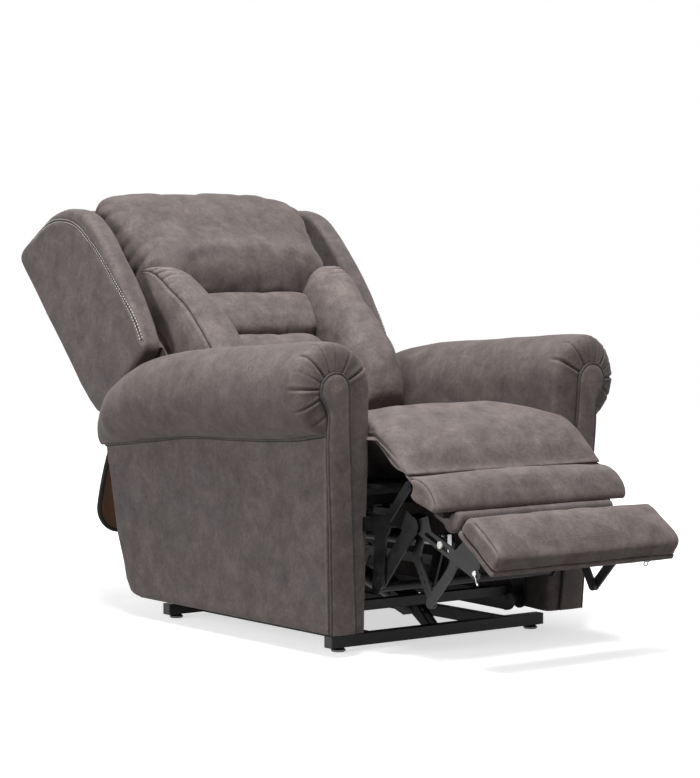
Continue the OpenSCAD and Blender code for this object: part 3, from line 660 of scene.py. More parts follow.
# Gathers of the roll's front: degrees round it, depth and length.
PLEATS = [(-56, 0.45, 0.4), (-27, 0.9, 0.6), (3, 1.1, 1.0), (25, 0.35, 0.5), (47, 1.05, 0.9), (70, 0.5, 0.7),
          (94, 0.45, 0.5), (122, 0.7, 0.8), (152, 1.1, 1.0)]
# The keyhole panel's inner and outer edges as (z, x), and how far the roll narrows towards the rear, along y.
PANEL_IN = [(ARM_FLOOR, 308), (426, 335), (540, 343.5), (605, 345), (800, 345)]
PANEL_OUT = [(ARM_FLOOR, 376), (300, 388), (430, 397), (488, 400), (545, 397), (800, 397)]
TAPER_IN = [(700, 1), (800, 0.98), (905, 0.91), (960, 0.82), (984, 0.72)]
TAPER_OUT = [(740, 1), (800, 0.96), (860, 0.83), (905, 0.56), (940, 0.37), (966, 0.20), (986, 0.10)]


def arm_out_x(z):
    return np.interp(z, [ARM_FLOOR, 510], [373.5, 394.5])


def arm_skin(side):
    """The rolled top, its gathered front and the arm's inner face as one cloth."""
    roll = np.radians(np.linspace(-82, 180, 250))
    down = np.linspace(0, 1, 52)[1:]
    k = len(roll) + len(down)
    is_roll = np.arange(k) < len(roll)

    def section(y):
        low, top = curve(PIPE, y), curve(TOP, y)
        mid = low + 0.48 * (top - low)
        inner = ROLL_RX * between(TAPER_IN, y)
        outer = ROLL_RX * between(TAPER_OUT, y)
        swell = 17.0 * math.exp(-((y - 30) / 85.0) ** 2)
        rx = np.where(np.cos(roll) > 0, outer, inner + swell * smoothstep(0, 0.9, -np.cos(roll)))
        z = mid + np.where(roll < 0, mid - low, top - mid) * np.sin(roll)
        zi = mid + (ARM_FLOOR - mid) * down
        xi = np.interp(zi, [ARM_FLOOR, mid], [292.6 - swell, ROLL_X - inner - swell])
        return np.r_[ROLL_X + rx * np.cos(roll), xi], np.r_[z, zi]

    x0, z0 = section(38.0)
    # where each point of the section ends on the edge of the keyhole panel
    turn = np.degrees(roll)
    on_lobe = roll > math.radians(-38)
    lx = np.where(on_lobe, ROLL_X + LOBE_R * np.cos(roll),
                  between([(-82, 399), (-60, 397), (-38, 414.7)], turn))
    lz = np.where(on_lobe, LOBE_Z + LOBE_R * np.sin(roll),
                  between([(-82, 510), (-60, 545), (-38, 581)], turn))
    lz = np.r_[lz, LOBE_Z + (ARM_FLOOR - LOBE_Z) * down]
    lx = np.r_[lx, between(PANEL_IN, lz[len(roll):])]
    depth = np.r_[between([(-82, 34), (60, 36), (110, 30), (180, 20)], turn),
                  between([(0, 20), (0.3, 15), (1, 12)], down)]
    full = np.r_[between([(-82, 0.92), (40, 0.9), (120, 0.72), (180, 0.66)], turn), np.full(len(down), 0.66)]
    ang = np.r_[roll, np.full(len(down), math.pi)]
    rows_, run = [], []
    for t in np.linspace(1, 0, 22):
        w, s = 1 - math.cos(t * math.pi / 2) ** full, math.sin(t * math.pi / 2) ** full
        x, z = x0 + (lx - x0) * w, z0 + (lz - z0) * w
        rows_.append(stack(x, lean(z) + 5.0 + depth * (1 - s), z))
        run.append(-t)
    y_first = lean(z0) + 5.0 + depth
    y_end = np.where(is_roll, 972.0, between(REAR, z0) - 5)
    for v in np.r_[np.linspace(0, 0.1, 14)[1:], np.linspace(0.1, 1, 84)[1:]]:
        y = y_first + v * (y_end - y_first)
        x, z = section(y[:len(roll)].mean())
        rows_.append(stack(x, y, z))
        run.append(v * 935)
    last = rows_[-1].copy()
    c = np.array([ROLL_X - 12, 0, (curve(PIPE, 972) + curve(TOP, 972)) / 2])
    for f in np.linspace(0, 1, 8)[1:]:
        q = last.copy()
        sc = math.sqrt(max(0.0, 1 - f * f))
        for axis in (0, 2):
            q[is_roll, axis] = c[axis] + (last[is_roll, axis] - c[axis]) * (0.1 + 0.9 * sc)
        q[is_roll, 1] = last[is_roll, 1] + 14 * f
        q[~is_roll, 0] = last[~is_roll, 0] + 20 * (1 - sc)
        q[~is_roll, 1] = last[~is_roll, 1] + 3 * f
        rows_.append(q)
        run.append(936 + f)
    p = np.array(rows_)
    run = np.array(run)
    nrm = grid_normals(p)
    probe = p[40, 80] - np.array([ROLL_X, p[40, 80][1], 590])
    if np.dot(nrm[40, 80], probe) < 0:
        nrm = -nrm
    # gathered front: radial pleats that start at the piping and die away past the shoulder
    front = run < 0
    reach = np.where(front, 1.0, np.clip(1 - run / 24.0, 0, 1))[:, None]
    near = np.where(front, -run, 0)[:, None]
    radius = np.where(front, LOBE_R + (ROLL_RX - LOBE_R) * (1 - near[:, 0]) ** 0.6, ROLL_RX)[:, None]
    lift_ = np.zeros(p.shape[:2])
    for i, (deg, deep, long_) in enumerate(PLEATS):
        bend = 0.05 * math.sin(3.1 * i)
        delta = (ang[None, :] - math.radians(deg) - bend * (1 - near)) * radius
        shown = reach * (0.35 + 0.65 * np.maximum(near, long_ * reach))
        fade = smoothstep(0, 1, 1 - (1 - shown) / (0.35 + 0.65 * long_))
        lift_ += furrow(delta, 4.2, 1.6 + 1.9 * (1 - near), 1.0, 6.5, 4.5) * deep * fade * is_roll[None, :]
    wave = clouded(p, 120, 3.0 + side, 2.0, 45, 9.0 - side, 0.7)
    hold = np.minimum(1, np.arange(k) / 14.0)[None, :]
    lift_ += wave * hold * np.where(front, 0.5, 1.0)[:, None]
    p = p + nrm * lift_[..., None]
    p[..., 0] = np.maximum(p[..., 0], 291.6 - 18.0 * np.exp(-((p[..., 1] - 30) / 85.0) ** 2))
    p[..., 0] *= side
    ob = grid("arm_cover_" + TAG[side], p, SUEDE_SHADED_ARM)
    if side > 0:
        ob.data.flip_normals()
    return ob


def arm_panel(side):
    """The flat outer side with its rear and underside: level loops from the floor up to the welt."""
    corner = 9.0
    loops = []
    for q in np.r_[-0.012, -0.004, np.linspace(0, 1, 54)]:
        up = max(q, 0)
        z_mid = ARM_FLOOR + up * (470 - ARM_FLOOR)
        in_ = 7.0 * (1 - math.sqrt(1 - max(0, (0.03 - up) / 0.03) ** 2))
        if q < 0:
            in_ = 40.0 if q < -0.01 else 12.0
        front, rear = float(lean(z_mid)) + 14 + in_, float(between(REAR, z_mid)) - in_
        xo, xi = float(arm_out_x(z_mid)) - in_, 293.2 + in_
        loop = [(xo, front + (rear - corner - front) * f) for f in np.linspace(0, 1, 110, endpoint=False)]
        loop += [(xo - corner * (1 - math.cos(w)), rear - corner + corner * math.sin(w))
                 for w in np.linspace(0, math.pi / 2, 14, endpoint=False)]
        loop += [(xo - corner + (xi - xo + corner) * f, rear) for f in np.linspace(0, 1, 30, endpoint=False)]
        loop += [(xi, rear + (front - rear) * f) for f in np.linspace(0, 1, 8, endpoint=False)]
        loop = np.array(loop)
        loops.append(np.column_stack([loop, ARM_FLOOR + up * (curve(PIPE, loop[:, 1]) + 4 - ARM_FLOOR)]))
    p = np.array(loops)
    w = clouded(p, 150, 5.0 * side, 1.6, 50, 2.0, 0.5)
    w += 2.2 * np.sin(np.clip(p[..., 1] / 930, 0, 1) * math.pi)
    inside = smoothstep(0, 40, p[..., 1] - lean(p[..., 2]) - 14) * smoothstep(0, 30, p[..., 2] - ARM_FLOOR)
    p[..., 0] += np.where(p[..., 0] > 360, w * inside, 0)
    p[..., 0] *= side
    return closed_skin("arm_side_cover_" + TAG[side], p, SUEDE_SHADED_SIDE)


def keyhole():
    """The outline of the arm front panel as (x, z), from the inner foot over the lobe to the outer foot."""
    a = np.radians(np.linspace(180, -36, 64))
    zi = np.linspace(ARM_FLOOR + 1, LOBE_Z - 8, 60)
    lobe = stack(ROLL_X + LOBE_R * np.cos(a), LOBE_Z + LOBE_R * np.sin(a))
    neck = rounded([(415.5, 582), (405, 566), (398, 550), (399.5, 520), (400, 488)], 2, closed=False)
    zo = np.linspace(480, ARM_FLOOR + 1, 46)
    return np.vstack([stack(between(PANEL_IN, zi), zi), lobe, neck[1:],
                      stack(between(PANEL_OUT, zo), zo)])


def arm_front(side):
    """The keyhole panel, and its piping with a very dark cord on both sides of it, painted shadow lines."""
    edge = resample(keyhole(), 260)
    z = edge[:, 1]
    middle = (between(PANEL_IN, z) + between(PANEL_OUT, z)) / 2
    lift_to = smoothstep(520, LOBE_Z, z)
    core = stack(middle * (1 - lift_to) + ROLL_X * lift_to, np.minimum(z, LOBE_Z))
    rows_ = []
    for f, out in ((1.0, 9.0), (1.0, 3.0), (0.965, -0.6), (0.9, -2.4), (0.75, -3.4), (0.5, -4.0),
                   (0.25, -4.2), (0.0, -4.3)):
        q = core + (edge - core) * f
        rows_.append(stack(q[:, 0], lean(q[:, 1]) + out, q[:, 1]))
    p = np.array(rows_)
    p[..., 1] -= soft_noise(p, 55.0, 11.0) * 0.8 * np.linspace(0, 1, len(rows_))[:, None]
    p[..., 0] *= side
    face = outward(grid("arm_front_panel_" + TAG[side], p, SUEDE))

    def line(q, out, r, material, sides):
        return tube("line", stack(side * q[:, 0], lean(q[:, 1]) + out, q[:, 1]), r, material, sides)

    d = unit(np.gradient(edge, axis=0))
    across = stack(-d[:, 1], d[:, 0])
    return face, join("arm_front_piping_" + TAG[side], [
        line(edge, -0.6, 2.9, SUEDE_WELT, 10), line(edge + across * 3.5, 2.2, 0.8, SEAM_SHADOW_LINE, 6),
        line(edge - across * 3.5, 0.8, 0.8, SEAM_SHADOW_LINE, 6)])


def arm_welt(side):
    """The welt under the roll, round the rear of the arm and in to its inner face, with a very dark cord
    above and below it as painted shadow.
    """
    y = np.linspace(12, 930, 130)
    low = curve(PIPE, y)
    a = stack(arm_out_x(low) + 3.0 + 0.6 * np.sin(y / 37.0), y, low + 0.4 * np.sin(y / 23.0))
    rear = float(between(REAR, 428))
    p = np.vstack([a, [(395.5, 938, 427.6), (392, 945, 427), (385, rear + 2.6, 426.5), (350, rear + 3, 426),
                       (300, rear + 3, 426)]])
    p[:, 0] *= side
    cord = tube("cord", p + np.array([0.8 * side, 0, 0]), 3.4, SUEDE_WELT, 12)
    # dark cords above and below the welt: painted shadow lines
    lines = [tube("line", p + np.array([-0.4 * side, 0, dz]), 1.7, SEAM_SHADOW_LINE, 6) for dz in (3.8, -3.8)]
    return join("arm_welt_" + TAG[side], [cord] + lines)


for side in (1, -1):
    tag = TAG[side]
    cover, panel = arm_skin(side), arm_panel(side)
    face, cord = arm_front(side)
    soft(cover, "seat", "arm_roll_" + tag, "arm_board_" + tag, fill=0.9)
    soft(face, "seat", "arm_front_" + tag, fill=0.9)
    soft(panel, "seat", "arm_side_" + tag, fill=0.95)
    trim(cord, "seat")
    trim(arm_welt(side), "seat")

# ---------------------------------------------------------------- pads in the back's plane
PAD_LOW = CORE_TOP + 0.8
GATHER_ROW = 5
# From the foot of a pad to its top: how far it is drawn in, as a share of its reach, and its height.
PAD_PROFILE = [(0.04, 0.0), (0.008, 0.14), (-0.006, 0.3), (-0.008, 0.46), (0.0, 0.62), (0.022, 0.76),
        (0.065, 0.865), (0.13, 0.93), (0.22, 0.97), (0.36, 0.99), (0.55, 1.0), (0.75, 1.0), (0.9, 1.0),
        (0.985, 1.0)]


def back_pad(half, length, mid, height, taper, square, crown, around=240, up=44):
    """A stuffed cushion on the back's core, sewn round its foot, its sides swelling over the seam."""
    a = circle(1400)
    v = power(np.sin(a), square)
    ring = resample(stack(half * (1 + taper * v) * power(np.cos(a), square), v * length / 2), around,
                    closed=True)
    reach = min(half, length / 2)
    limit = np.array([half - reach, length / 2 - reach])
    core = np.clip(ring, -limit, limit)
    rows_ = []
    for e, h in resample(rounded(PAD_PROFILE, 2, closed=False), up):
        q = core + (ring - core) * (1 - e)
        n = PAD_LOW + h * height + crown(q[:, 0], q[:, 1]) * smoothstep(0.3, 1, h)
        rows_.append(stack(q[:, 0], q[:, 1] + mid, n))
    return np.array(rows_)


def nearest_index(p, x, u, x_weight=1.0):
    """Where a point lies round the foot of a pad."""
    return int(np.argmin(np.hypot((p[4, :, 0] - x) * x_weight, p[4, :, 1] - u)))


def gathers(p, places, depth, width, last_row):
    """Short creases across a ring-built pad; places are (index round the ring, strength, tilt)."""
    m, n = p.shape[:2]
    k, r = np.arange(n)[None, :], np.arange(m)[:, None]
    fade = smoothstep(GATHER_ROW - 3, GATHER_ROW + 1, r) * (1 - smoothstep(GATHER_ROW + 2, last_row, r))
    out = np.zeros((m, n))
    for pos, s, tilt in places:
        d = (k - pos - tilt * (r - GATHER_ROW) + n / 2) % n - n / 2
        out += furrow(d, depth, width, 0.35 * depth, 2.4 * width, 1.5 * width) * s * fade
    return out


def on_back(name, p, material):
    """Skins a pad given in (x, u, n) and stands it in the row frame."""
    return closed_skin(name, back(p[..., 0], p[..., 1], p[..., 2]), material)


# headrest: deep pillow that rolls over the top of the back
p = back_pad(298, 372, 332, 95, 0.09, 0.4, lambda x, u: 8.0 * (1 - (x / 300) ** 2)
             + 6.0 * smoothstep(-40, -120, u) - 24.0 * smoothstep(60, 186, u), around=300, up=52)
roll = np.clip((214 - p[..., 1]) / 68, 0, 1)
belly = 25 * np.exp(-((p[..., 1] - 236) / 76) ** 2) * (1 - (np.abs(p[..., 0]) / 310) ** 4)
above_foot = smoothstep(PAD_LOW + 20, PAD_LOW + 75, p[..., 2])
p[..., 2] += (belly - 50 * (1 - np.sqrt(1 - 0.98 * roll ** 2))) * above_foot
places = []
for x_, ends in ((-1, ((190, 0.9), (214, 0.6), (246, 1.0), (281, 0.5), (318, 0.8), (362, 0.5), (421, 0.9),
        (455, 0.6))), (1, ((192, 0.8), (226, 1.0), (262, 0.6), (305, 0.9), (350, 0.5), (408, 0.8),
                (450, 0.6)))): places += [(nearest_index(p, x_ * 280, u_, 0.7), s_, 0.1 * x_) for u_,
                                          s_ in ends]
for x_, s_ in ((-214, 1.0), (-180, 0.5), (-120, 0.45), (-40, 0.35), (35, 0.5), (110, 0.4), (176, 0.9),
               (215, 0.7)):
    places.append((nearest_index(p, x_, 151), s_, 0.0))
p = displaced(p, gathers(p, places, 8.0, 1.5, 34) + clouded(p, 95, 4.0, 3.0, 42, 1.0, 0.9))
headrest = on_back("headrest_cushion", p, SUEDE_SHADED_ARM)

p = back_pad(174, 139, 81, 80, 0.08, 0.3,
             lambda x, u: 3.0 * (1 - (x / 190) ** 2) - 20 * smoothstep(104, 150, u))
places = [(nearest_index(p, x_, u_), s_, 0.05) for x_, u_,
        s_ in ((-183, 30, 1.0), (-183, 52, 0.6), (-183, 120, 0.7), (183, 28, 1.0), (183, 46, 0.8),
               (183, 118, 0.6), (-90, 15, 0.4), (60, 15, 0.5), (120, 15, 0.4))]
p = displaced(p, gathers(p, places, 6.0, 1.4, 32) + clouded(p, 70, 7.0, 1.8, 32, 2.0, 0.6))
lumbar_upper = on_back("lumbar_cushion_upper", p, SUEDE)

p = back_pad(150, 247, -112, 80, 0.06, 0.34, lambda x, u: 3.0 * (1 - (x / 190) ** 2))
p = displaced(p, clouded(p, 80, 17.0, 2.2, 36, 12.0, 0.7))
lumbar_lower = on_back("lumbar_cushion_lower", p, SUEDE)


def bolster(side):
    """A long side pillow: a side panel, and a front panel sewn to it along the outer edge.

    The front panel is gathered at the top. Gives the piece and the line of that seam.
    """
    a = np.linspace(0, math.pi, 88)
    outside = a < math.pi / 2
    rows_ = []
    for u in np.r_[np.linspace(-253, -235, 9), np.linspace(-232, 150, 84), np.linspace(154, 223, 28)]:
        s = between([(-253, 0.60), (-250, 0.78), (-246, 0.87), (-240, 0.92), (-225, 0.965), (-180, 1),
                (80, 1), (150, 0.99), (176, 0.955), (194, 0.90), (206, 0.83), (214, 0.75), (219, 0.66),
                (223, 0.52)], u)
        outer = SEAT_HALF - 5.6 + 13.0 * float(smoothstep(30, 120, u))
        inner = between([(-235, 143), (14, 162), (148, 177), (180, 191), (204, 215), (223, 254)], u)
        inner = min(float(inner), outer - 26)
        half, mid = (outer - inner) / 2, (outer + inner) / 2
        top = 404 - (0.0025 if u < -100 else 0.00051) * (u + 100) ** 2
        h = (top - PAD_LOW + 2.0) * s
        x = mid + half * power(np.cos(a), np.where(outside, 0.42, 0.62))
        dome = 0.3 + 0.7 * power(np.sin(a), np.where(outside, 0.45, 0.8))
        puff = 10.0 * np.sin(np.clip((a - 0.75) / 2.0, 0, 1) * math.pi) * s
        slope = 1 - 0.09 * (1 - (x - inner) / max(outer - inner, 1)) ** 1.4
        skirt = PAD_LOW + 0.15 * h
        foot_line = [(mid - half + 3, skirt), (mid - half + 6, PAD_LOW), (mid, PAD_LOW),
                     (mid + half - 6, PAD_LOW),
                     (mid + half - 3, skirt)]
        rows_.append(np.r_[stack(x, np.full_like(x, u), PAD_LOW + h * dome * slope + puff),
                           [[x_, u, n_] for x_, n_ in foot_line]])
    p = np.array(rows_)
    k = np.arange(p.shape[1])[None, :]
    u = p[..., 1]
    g = clouded(p, 85, 21.0 * side, 2.6, 38, 5.0 * side, 0.9)
    # gathers run from the seam over the front panel
    for u0, s_, tilt in ((207, 0.7, 0.3), (192, 0.9, 0.26), (172, 1.25, 0.2), (147, 1.35, 0.12),
                         (120, 0.5, 0.2), (80, 0.3, 0.1)):
        fade = smoothstep(20, 23, k) * (1 - smoothstep(25 + 8 * s_, 32 + 13 * s_, k))
        g += furrow(u - (u0 - tilt * (k - 24) * 0.9), 5.2, 2.5, 2.2, 8.0, 5.0) * s_ * fade
    d = k - 21.5
    pressed = -2.6 * np.exp(-(d / 1.2) ** 2) * smoothstep(-240, -220, u)
    g += pressed + 1.3 * np.exp(-((np.abs(d) - 4.5) / 2.5) ** 2)
    p = displaced(p, g)
    p[..., 0] *= side
    line = p[6:-4, 21:23].mean(1)
    return on_back("bolster_cushion_" + TAG[side], p, SUEDE), back(line[:, 0], line[:, 1], line[:, 2])


def wing(side):
    """A wing: stitched outer panel, puffed front boxing and a rolled lower corner.

    Gives the piece and the line of its stitched seam.
    """
    outline = [(0, 0), (300, 0), (545, 0), (562, 8), (566, 30), (556, 78), (545, 128), (533, 173), (521, 207),
            (505, 238), (486, 266), (462, 288), (432, 308), (400, 322), (345, 331), (280, 332), (184, 329),
            (120, 321), (65, 311), (28, 303), (0, 296), (-13, 286), (-19, 270), (-12, 200), (-6, 60)]
    ring = resample(rounded(outline, 2), 300, closed=True)
    c = np.array([250.0, 150.0])
    t = WING_T
    rolled = np.linspace(0.15, math.pi / 2, 8), np.linspace(math.pi / 2, 0.12, 9)
    steps = [(0.6, 40.0), (0.6, 18.0)]
    steps += [(0.6 + 15 * (1 - math.cos(w)), 15 * (1 - math.sin(w))) for w in rolled[0]]
    steps += [(x, 0.0) for x in np.linspace(17, t - 17, 8)[1:-1]]
    steps += [(t - 0.6 - 14 * (1 - math.cos(w)), 14 * (1 - math.sin(w))) for w in rolled[1]]
    steps += [(t - 0.4, e) for e in (18.0, 22.0, 26.0, 30.0, 36.0, 44.0, 56.0)]
    rows_ = [(WING_X + x, inset(ring, c, e)) for x, e in steps]
    rows_ += [(WING_X + t - 0.4, c + (rows_[-1][1] - c) * f) for f in np.linspace(1, 0.02, 18)[1:]]
    p = swept(rows_)
    r = np.arange(len(p))[:, None]
    g = clouded(p, 130, 31.0 * side, 2.2, 48, 6.0 * side, 0.8)
    # the outer panel is fuller in the middle; the boxing is gathered along the stitched line
    middle = np.array([260, 150])
    fuller = np.clip(1 - np.linalg.norm((p[..., 1:] - middle) / middle, axis=-1), 0, 1)
    g += np.where(r >= 24, 3.0 * fuller, 0)
    up, n = ring[:, 0], ring[:, 1]
    strength = smoothstep(300, 420, up) * smoothstep(40, 120, n)
    strength += 0.35 * smoothstep(120, 300, up) * smoothstep(200, 260, n)
    pos = along(ring)
    ruck = (0.5 + 0.5 * np.cos(2 * math.pi * (pos / 15.0 + 0.35 * np.sin(pos / 31.0)))) ** 3
    ruck *= strength * (0.55 + 0.45 * np.sin(pos / 57.0 + 1.0))
    g += -2.2 * np.exp(-((r - 21) / 5.0) ** 2) * ruck[None, :]
    p = displaced(p, g)
    p[..., 0] *= side
    seam_un = [(548, 90), (541, 122), (527.7, 158.5), (504.7, 201.5), (463, 245), (416.5, 273.5),
               (366.5, 286.7), (295, 300), (193.6, 303), (90, 309), (34, 299), (6, 292)]
    u, n = resample(rounded(seam_un, 2, closed=False), 150).T
    line = back(side * (WING_X + t - between([(0, 5), (60, 3), (200, 0)], u)), u, n)
    return on_back("wing_cover_" + TAG[side], p, SUEDE_SHADED_SIDE), line


WINGS = {}
BOLSTERS = {}
for side in (1, -1):
    WINGS[side] = wing(side)
    BOLSTERS[side] = bolster(side)


# ---------------------------------------------------------------- seat, calf rest and footrest
# Outlines as (y, z), each seen from the side.
SEAT_RING = [(64, 389.5), (300, 389.5), (556, 389.5), (569, 402), (560, 430), (470, 443), (330, 473),
        (200, 505), (110, 525), (60, 531.5), (20, 529), (-20, 518), (-48, 504), (-72, 489), (-93, 470),
        (-110, 453), (-125, 439.5), (-136, 430), (-142, 423.5), (-141, 420), (-134, 423), (-126, 426.8),
        (-112, 429.5), (-96, 436), (-70, 453), (-40, 466), (0, 466), (34, 436), (52, 404)]
CALF_RING = [(-118 + 29.5 * math.cos(w), 395 + 29.5 * math.sin(w))
             for w in np.radians(np.linspace(92, 222, 14))]
CALF_RING += [(-150, 363.5), (-190, 353.0), (-222, 343.5), (-229, 346), (-231.5, 354), (-229, 366),
        (-220, 383), (-203, 401), (-184, 411), (-166, 416.5), (-152, 417.5), (-143, 415.5), (-137, 417)]
FLAP_RING = [(-152, 341), (-186, 337), (-208, 340), (-232, 345.5), (-245, 342), (-249, 329), (-244, 310),
             (-229, 298), (-209, 295), (-194, 301), (-186, 314), (-152, 329)]
BOARD_REAR, BOARD_FRONT = np.array([-292.0, 311.0]), np.array([-404.0, 230.0])
BOARD_RUN = (BOARD_FRONT - BOARD_REAR) / np.linalg.norm(BOARD_FRONT - BOARD_REAR)
BOARD_DOWN = np.array([-BOARD_RUN[1], BOARD_RUN[0]])
FOOT_RING = [BOARD_REAR - BOARD_DOWN * 0.6 + BOARD_RUN * 3, BOARD_FRONT - BOARD_DOWN * 0.6 - BOARD_RUN,
             (-411, 241),
             (-420, 251), (-423.4, 264), (-415.5, 277.5), (-390, 299.3), (-364, 318), (-338, 335.2),
             (-325, 341.2),
             (-309, 337.2), (-298.6, 326)]
BACK_RING = [(0.5, 1), (200, 0.5), (480, 0.5), (522, 3), (533, 14), (532, 50), (525, 110), (515, 170),
        (506, 222), (502, 236), (492, 236), (506, 172), (518, 92), (522, 26), (508, 17), (200, 17.4),
        (0.5, 17.4)]


def crowned(amount, start, half, square=2.0):
    """Lifts the top of a slab, most in the middle of its width."""
    def f(p):
        s = np.clip(np.abs(p[..., 0]) / half, 0, 1)
        p = p.copy()
        p[..., 2] += smoothstep(start, start + 25, p[..., 2]) * (amount * (1 - s ** square))
        return p
    return f


def sided_slab(name, ring_pts, half, material, edge, crown, seed, big, n=200, steps=44, corner=2):
    """An upholstered slab: an outline swept across x, its side edges rolled over."""
    ring = resample(rounded(ring_pts, corner), n, closed=True)
    c = middle_of(ring)
    end = [(half, c + (inset(ring, c, edge) - c) * f) for f in (0.02, 0.35, 0.7)]
    end += [(half - edge * (1 - math.cos(w)) * 0.9, inset(ring, c, edge * (1 - math.sin(w))))
            for w in np.linspace(0, math.pi / 2, 8)]
    run = half - edge * 0.9
    level = [(x, ring) for x in np.linspace(-run, run, steps)[1:-1]]
    p = swept([(-x, q) for x, q in end] + level + end[::-1])
    if crown:
        p = crown(p)
    p = displaced(p, clouded(p, 95.0, seed, big, 95.0 * 0.42, seed + 3, 0.6))
    p[..., 0] = np.clip(p[..., 0], -half, half)
    return closed_skin(name, p, material)


def nestled(p):
    """The seat's crown and rolled edges, and its sides tucked in where the arm fronts press on them."""
    x, y, z = np.abs(p[..., 0]), p[..., 1], p[..., 2]
    top = smoothstep(436, 470, z) * (1 - smoothstep(0, 60, y) * 0.5)
    front = smoothstep(-60, -110, y) * smoothstep(425, 436, z)
    r = np.clip((x - 254) / 32.5, 0, 1)
    p = crowned(22, 432, 287, 7.0)(p)
    p[..., 2] -= 7.0 * np.maximum(top, 0.35 * front) * (1 - np.sqrt(1 - r ** 2 * 0.98))
    lowest = between([(-144, 415), (-112, 417), (-70, 449), (-35, 486), (0, 506), (84, 498), (130, 440),
                      (160, 300)], y)
    p[..., 2] = np.where(y < 160, np.maximum(p[..., 2], lowest - 0.9 * (COVER_HALF - x)), p[..., 2])
    p[..., 0] *= 1 - 16.0 * np.exp(-((y - 30) / 52.0) ** 2) * smoothstep(-30, 0, y) / 287.0
    return p


seat = sided_slab("seat_cushion_cover", SEAT_RING, COVER_HALF, SUEDE, 9, nestled, 41, 2.6, n=300, steps=52)
calf = sided_slab("calf_cushion", CALF_RING, COVER_HALF, SUEDE, 12, crowned(7, 385, 287), 52, 1.6, n=170)
flap = sided_slab("flap_cover", FLAP_RING, 230.5, SUEDE_SHADED_SIDE, 12, None, 63, 1.0, n=120)
foot = sided_slab("foot_cushion", FOOT_RING, FOOT_HALF, SUEDE, 13, crowned(5, 290, 270), 74, 1.8, n=190)
under = [BOARD_REAR - BOARD_RUN, BOARD_FRONT + BOARD_RUN, BOARD_FRONT + BOARD_DOWN * 12 + BOARD_RUN,
         BOARD_REAR + BOARD_DOWN * 12 - BOARD_RUN]
under = [a * (1 - f) + b * f for a, b in zip(under, under[1:] + under[:1]) for f in (0.06, 0.5, 0.94)]
board = sided_slab("foot_board_cover", under, 268.6, SUEDE, 5, None, 85, 0.5, n=150, corner=1)

ring = resample(rounded(BACK_RING, 2), 220, closed=True)
edge_in = [(326.4, 7), (325, 2.5), (321, 0)]
p = swept([(x, inset(ring, middle_of(ring), e)) for x, e in
           [(-x, e) for x, e in edge_in] + [(x, 0) for x in np.linspace(-310, 310, 34)] + edge_in[::-1]])
p[..., 2] += soft_noise(p, 120, 9.0) * 1.2 * (p[..., 2] < 60)
back_cover = on_back("back_cover", p, SUEDE_SHADED_SIDE)

for ob, body, name, fill in ((back_cover, "back", "back_panel", 1.0), (headrest, "back", "headrest", 0.85),
        (lumbar_upper, "back", "lumbar_upper", 0.85), (lumbar_lower, "back", "lumbar_lower", 0.85),
        (seat, None, "seat_cushion", 0.85), (calf, "calf", "calf_pad", 0.9), (flap, "calf", "mid_flap", 0.9),
        (foot, "foot", "foot_pad", 0.9), (board, "foot", "foot_board", 1.0)):
    soft(ob, body, name, fill=fill)
for side in (1, -1):
    soft(WINGS[side][0], "back", "wing_" + TAG[side], fill=0.95)
    soft(BOLSTERS[side][0], "back", "bolster_" + TAG[side], fill=0.85)


def flap_point(x, t):
    """A point of the rear flap's curved board: x across, t up from its pin."""
    y = -687.0 + math.sqrt(694.0 ** 2 - (t + 116.0) ** 2)
    c, s = math.cos(math.radians(18)), math.sin(math.radians(18))
    return x, 988 + y * c - t * s, 418 + y * s + t * c


half_w, low_t, corner = 350.0, -232.0, 70.0
rim = [(-half_w, t) for t in np.linspace(-12, low_t + corner, 12)]
rim += [(-half_w + corner - corner * math.cos(a), low_t + corner - corner * math.sin(a))
        for a in np.linspace(0.1, math.pi / 2, 12)]
rim += [(x, low_t) for x in np.linspace(-half_w + corner + 20, 0, 8)]
rim += [(-x, t) for x, t in rim[-2::-1]]
rim = resample([flap_point(x, t) for x, t in rim], 220)
trim(tube("rear_flap_binding", rim, 8.0, BINDING, 12, squash=0.8), "rear_flap")

# small hardware: slot rollers, plated nuts and a hook on the foot arms, a pull ring under the foot board
SLOT_ROLLER, TOE = (-211.7, 271.6), (-330.0, 222.0)
ROLLER_TURNED = [(256.6, 2), (256.7, 8.2), (257.0, 8.7), (258.8, 8.7), (259.3, 8.2), (259.6, 7.2),
                 (259.65, 2)]
NUT_TURNED = [(256.6, 2), (256.7, 6.2), (257.0, 6.6), (259.4, 6.6), (261.0, 5.6), (262.0, 3.4), (262.3, 0.6)]


def turned(name, side, centre, profile, material):
    """A turned piece on an axis along x, from (x, radius) pairs."""
    return tube(name, [(side * x, *centre) for x, _ in profile], [r for _, r in profile], material, 28)


for side in (1, -1):
    trim(turned("foot_roller_" + TAG[side], side, SLOT_ROLLER, ROLLER_TURNED, NYLON), "foot")
    metal_bits = [turned("nut", side, TOE, NUT_TURNED, ZINC)]
    if side < 0:
        wire = [(side * (259.5 + 0.8 * math.sin(a)), TOE[0] - 3 - 5 * (1 - math.cos(a)),
                 TOE[1] - 8 - 15 * a / math.pi + 5 * math.sin(2 * a))
                for a in np.linspace(0, math.pi * 1.3, 40)]
        metal_bits.append(tube("hook", wire, 1.2, ZINC, 10))
    trim(join("foot_hook_" + TAG[side], metal_bits), "foot")
loop = [(184 + 6 * math.sin(a), -399 + math.cos(a), 217 - 6 * math.cos(a)) for a in circle(48)]
trim(tube("foot_pull_ring", loop, 1.3, CHROME, 10, closed=True), "foot")

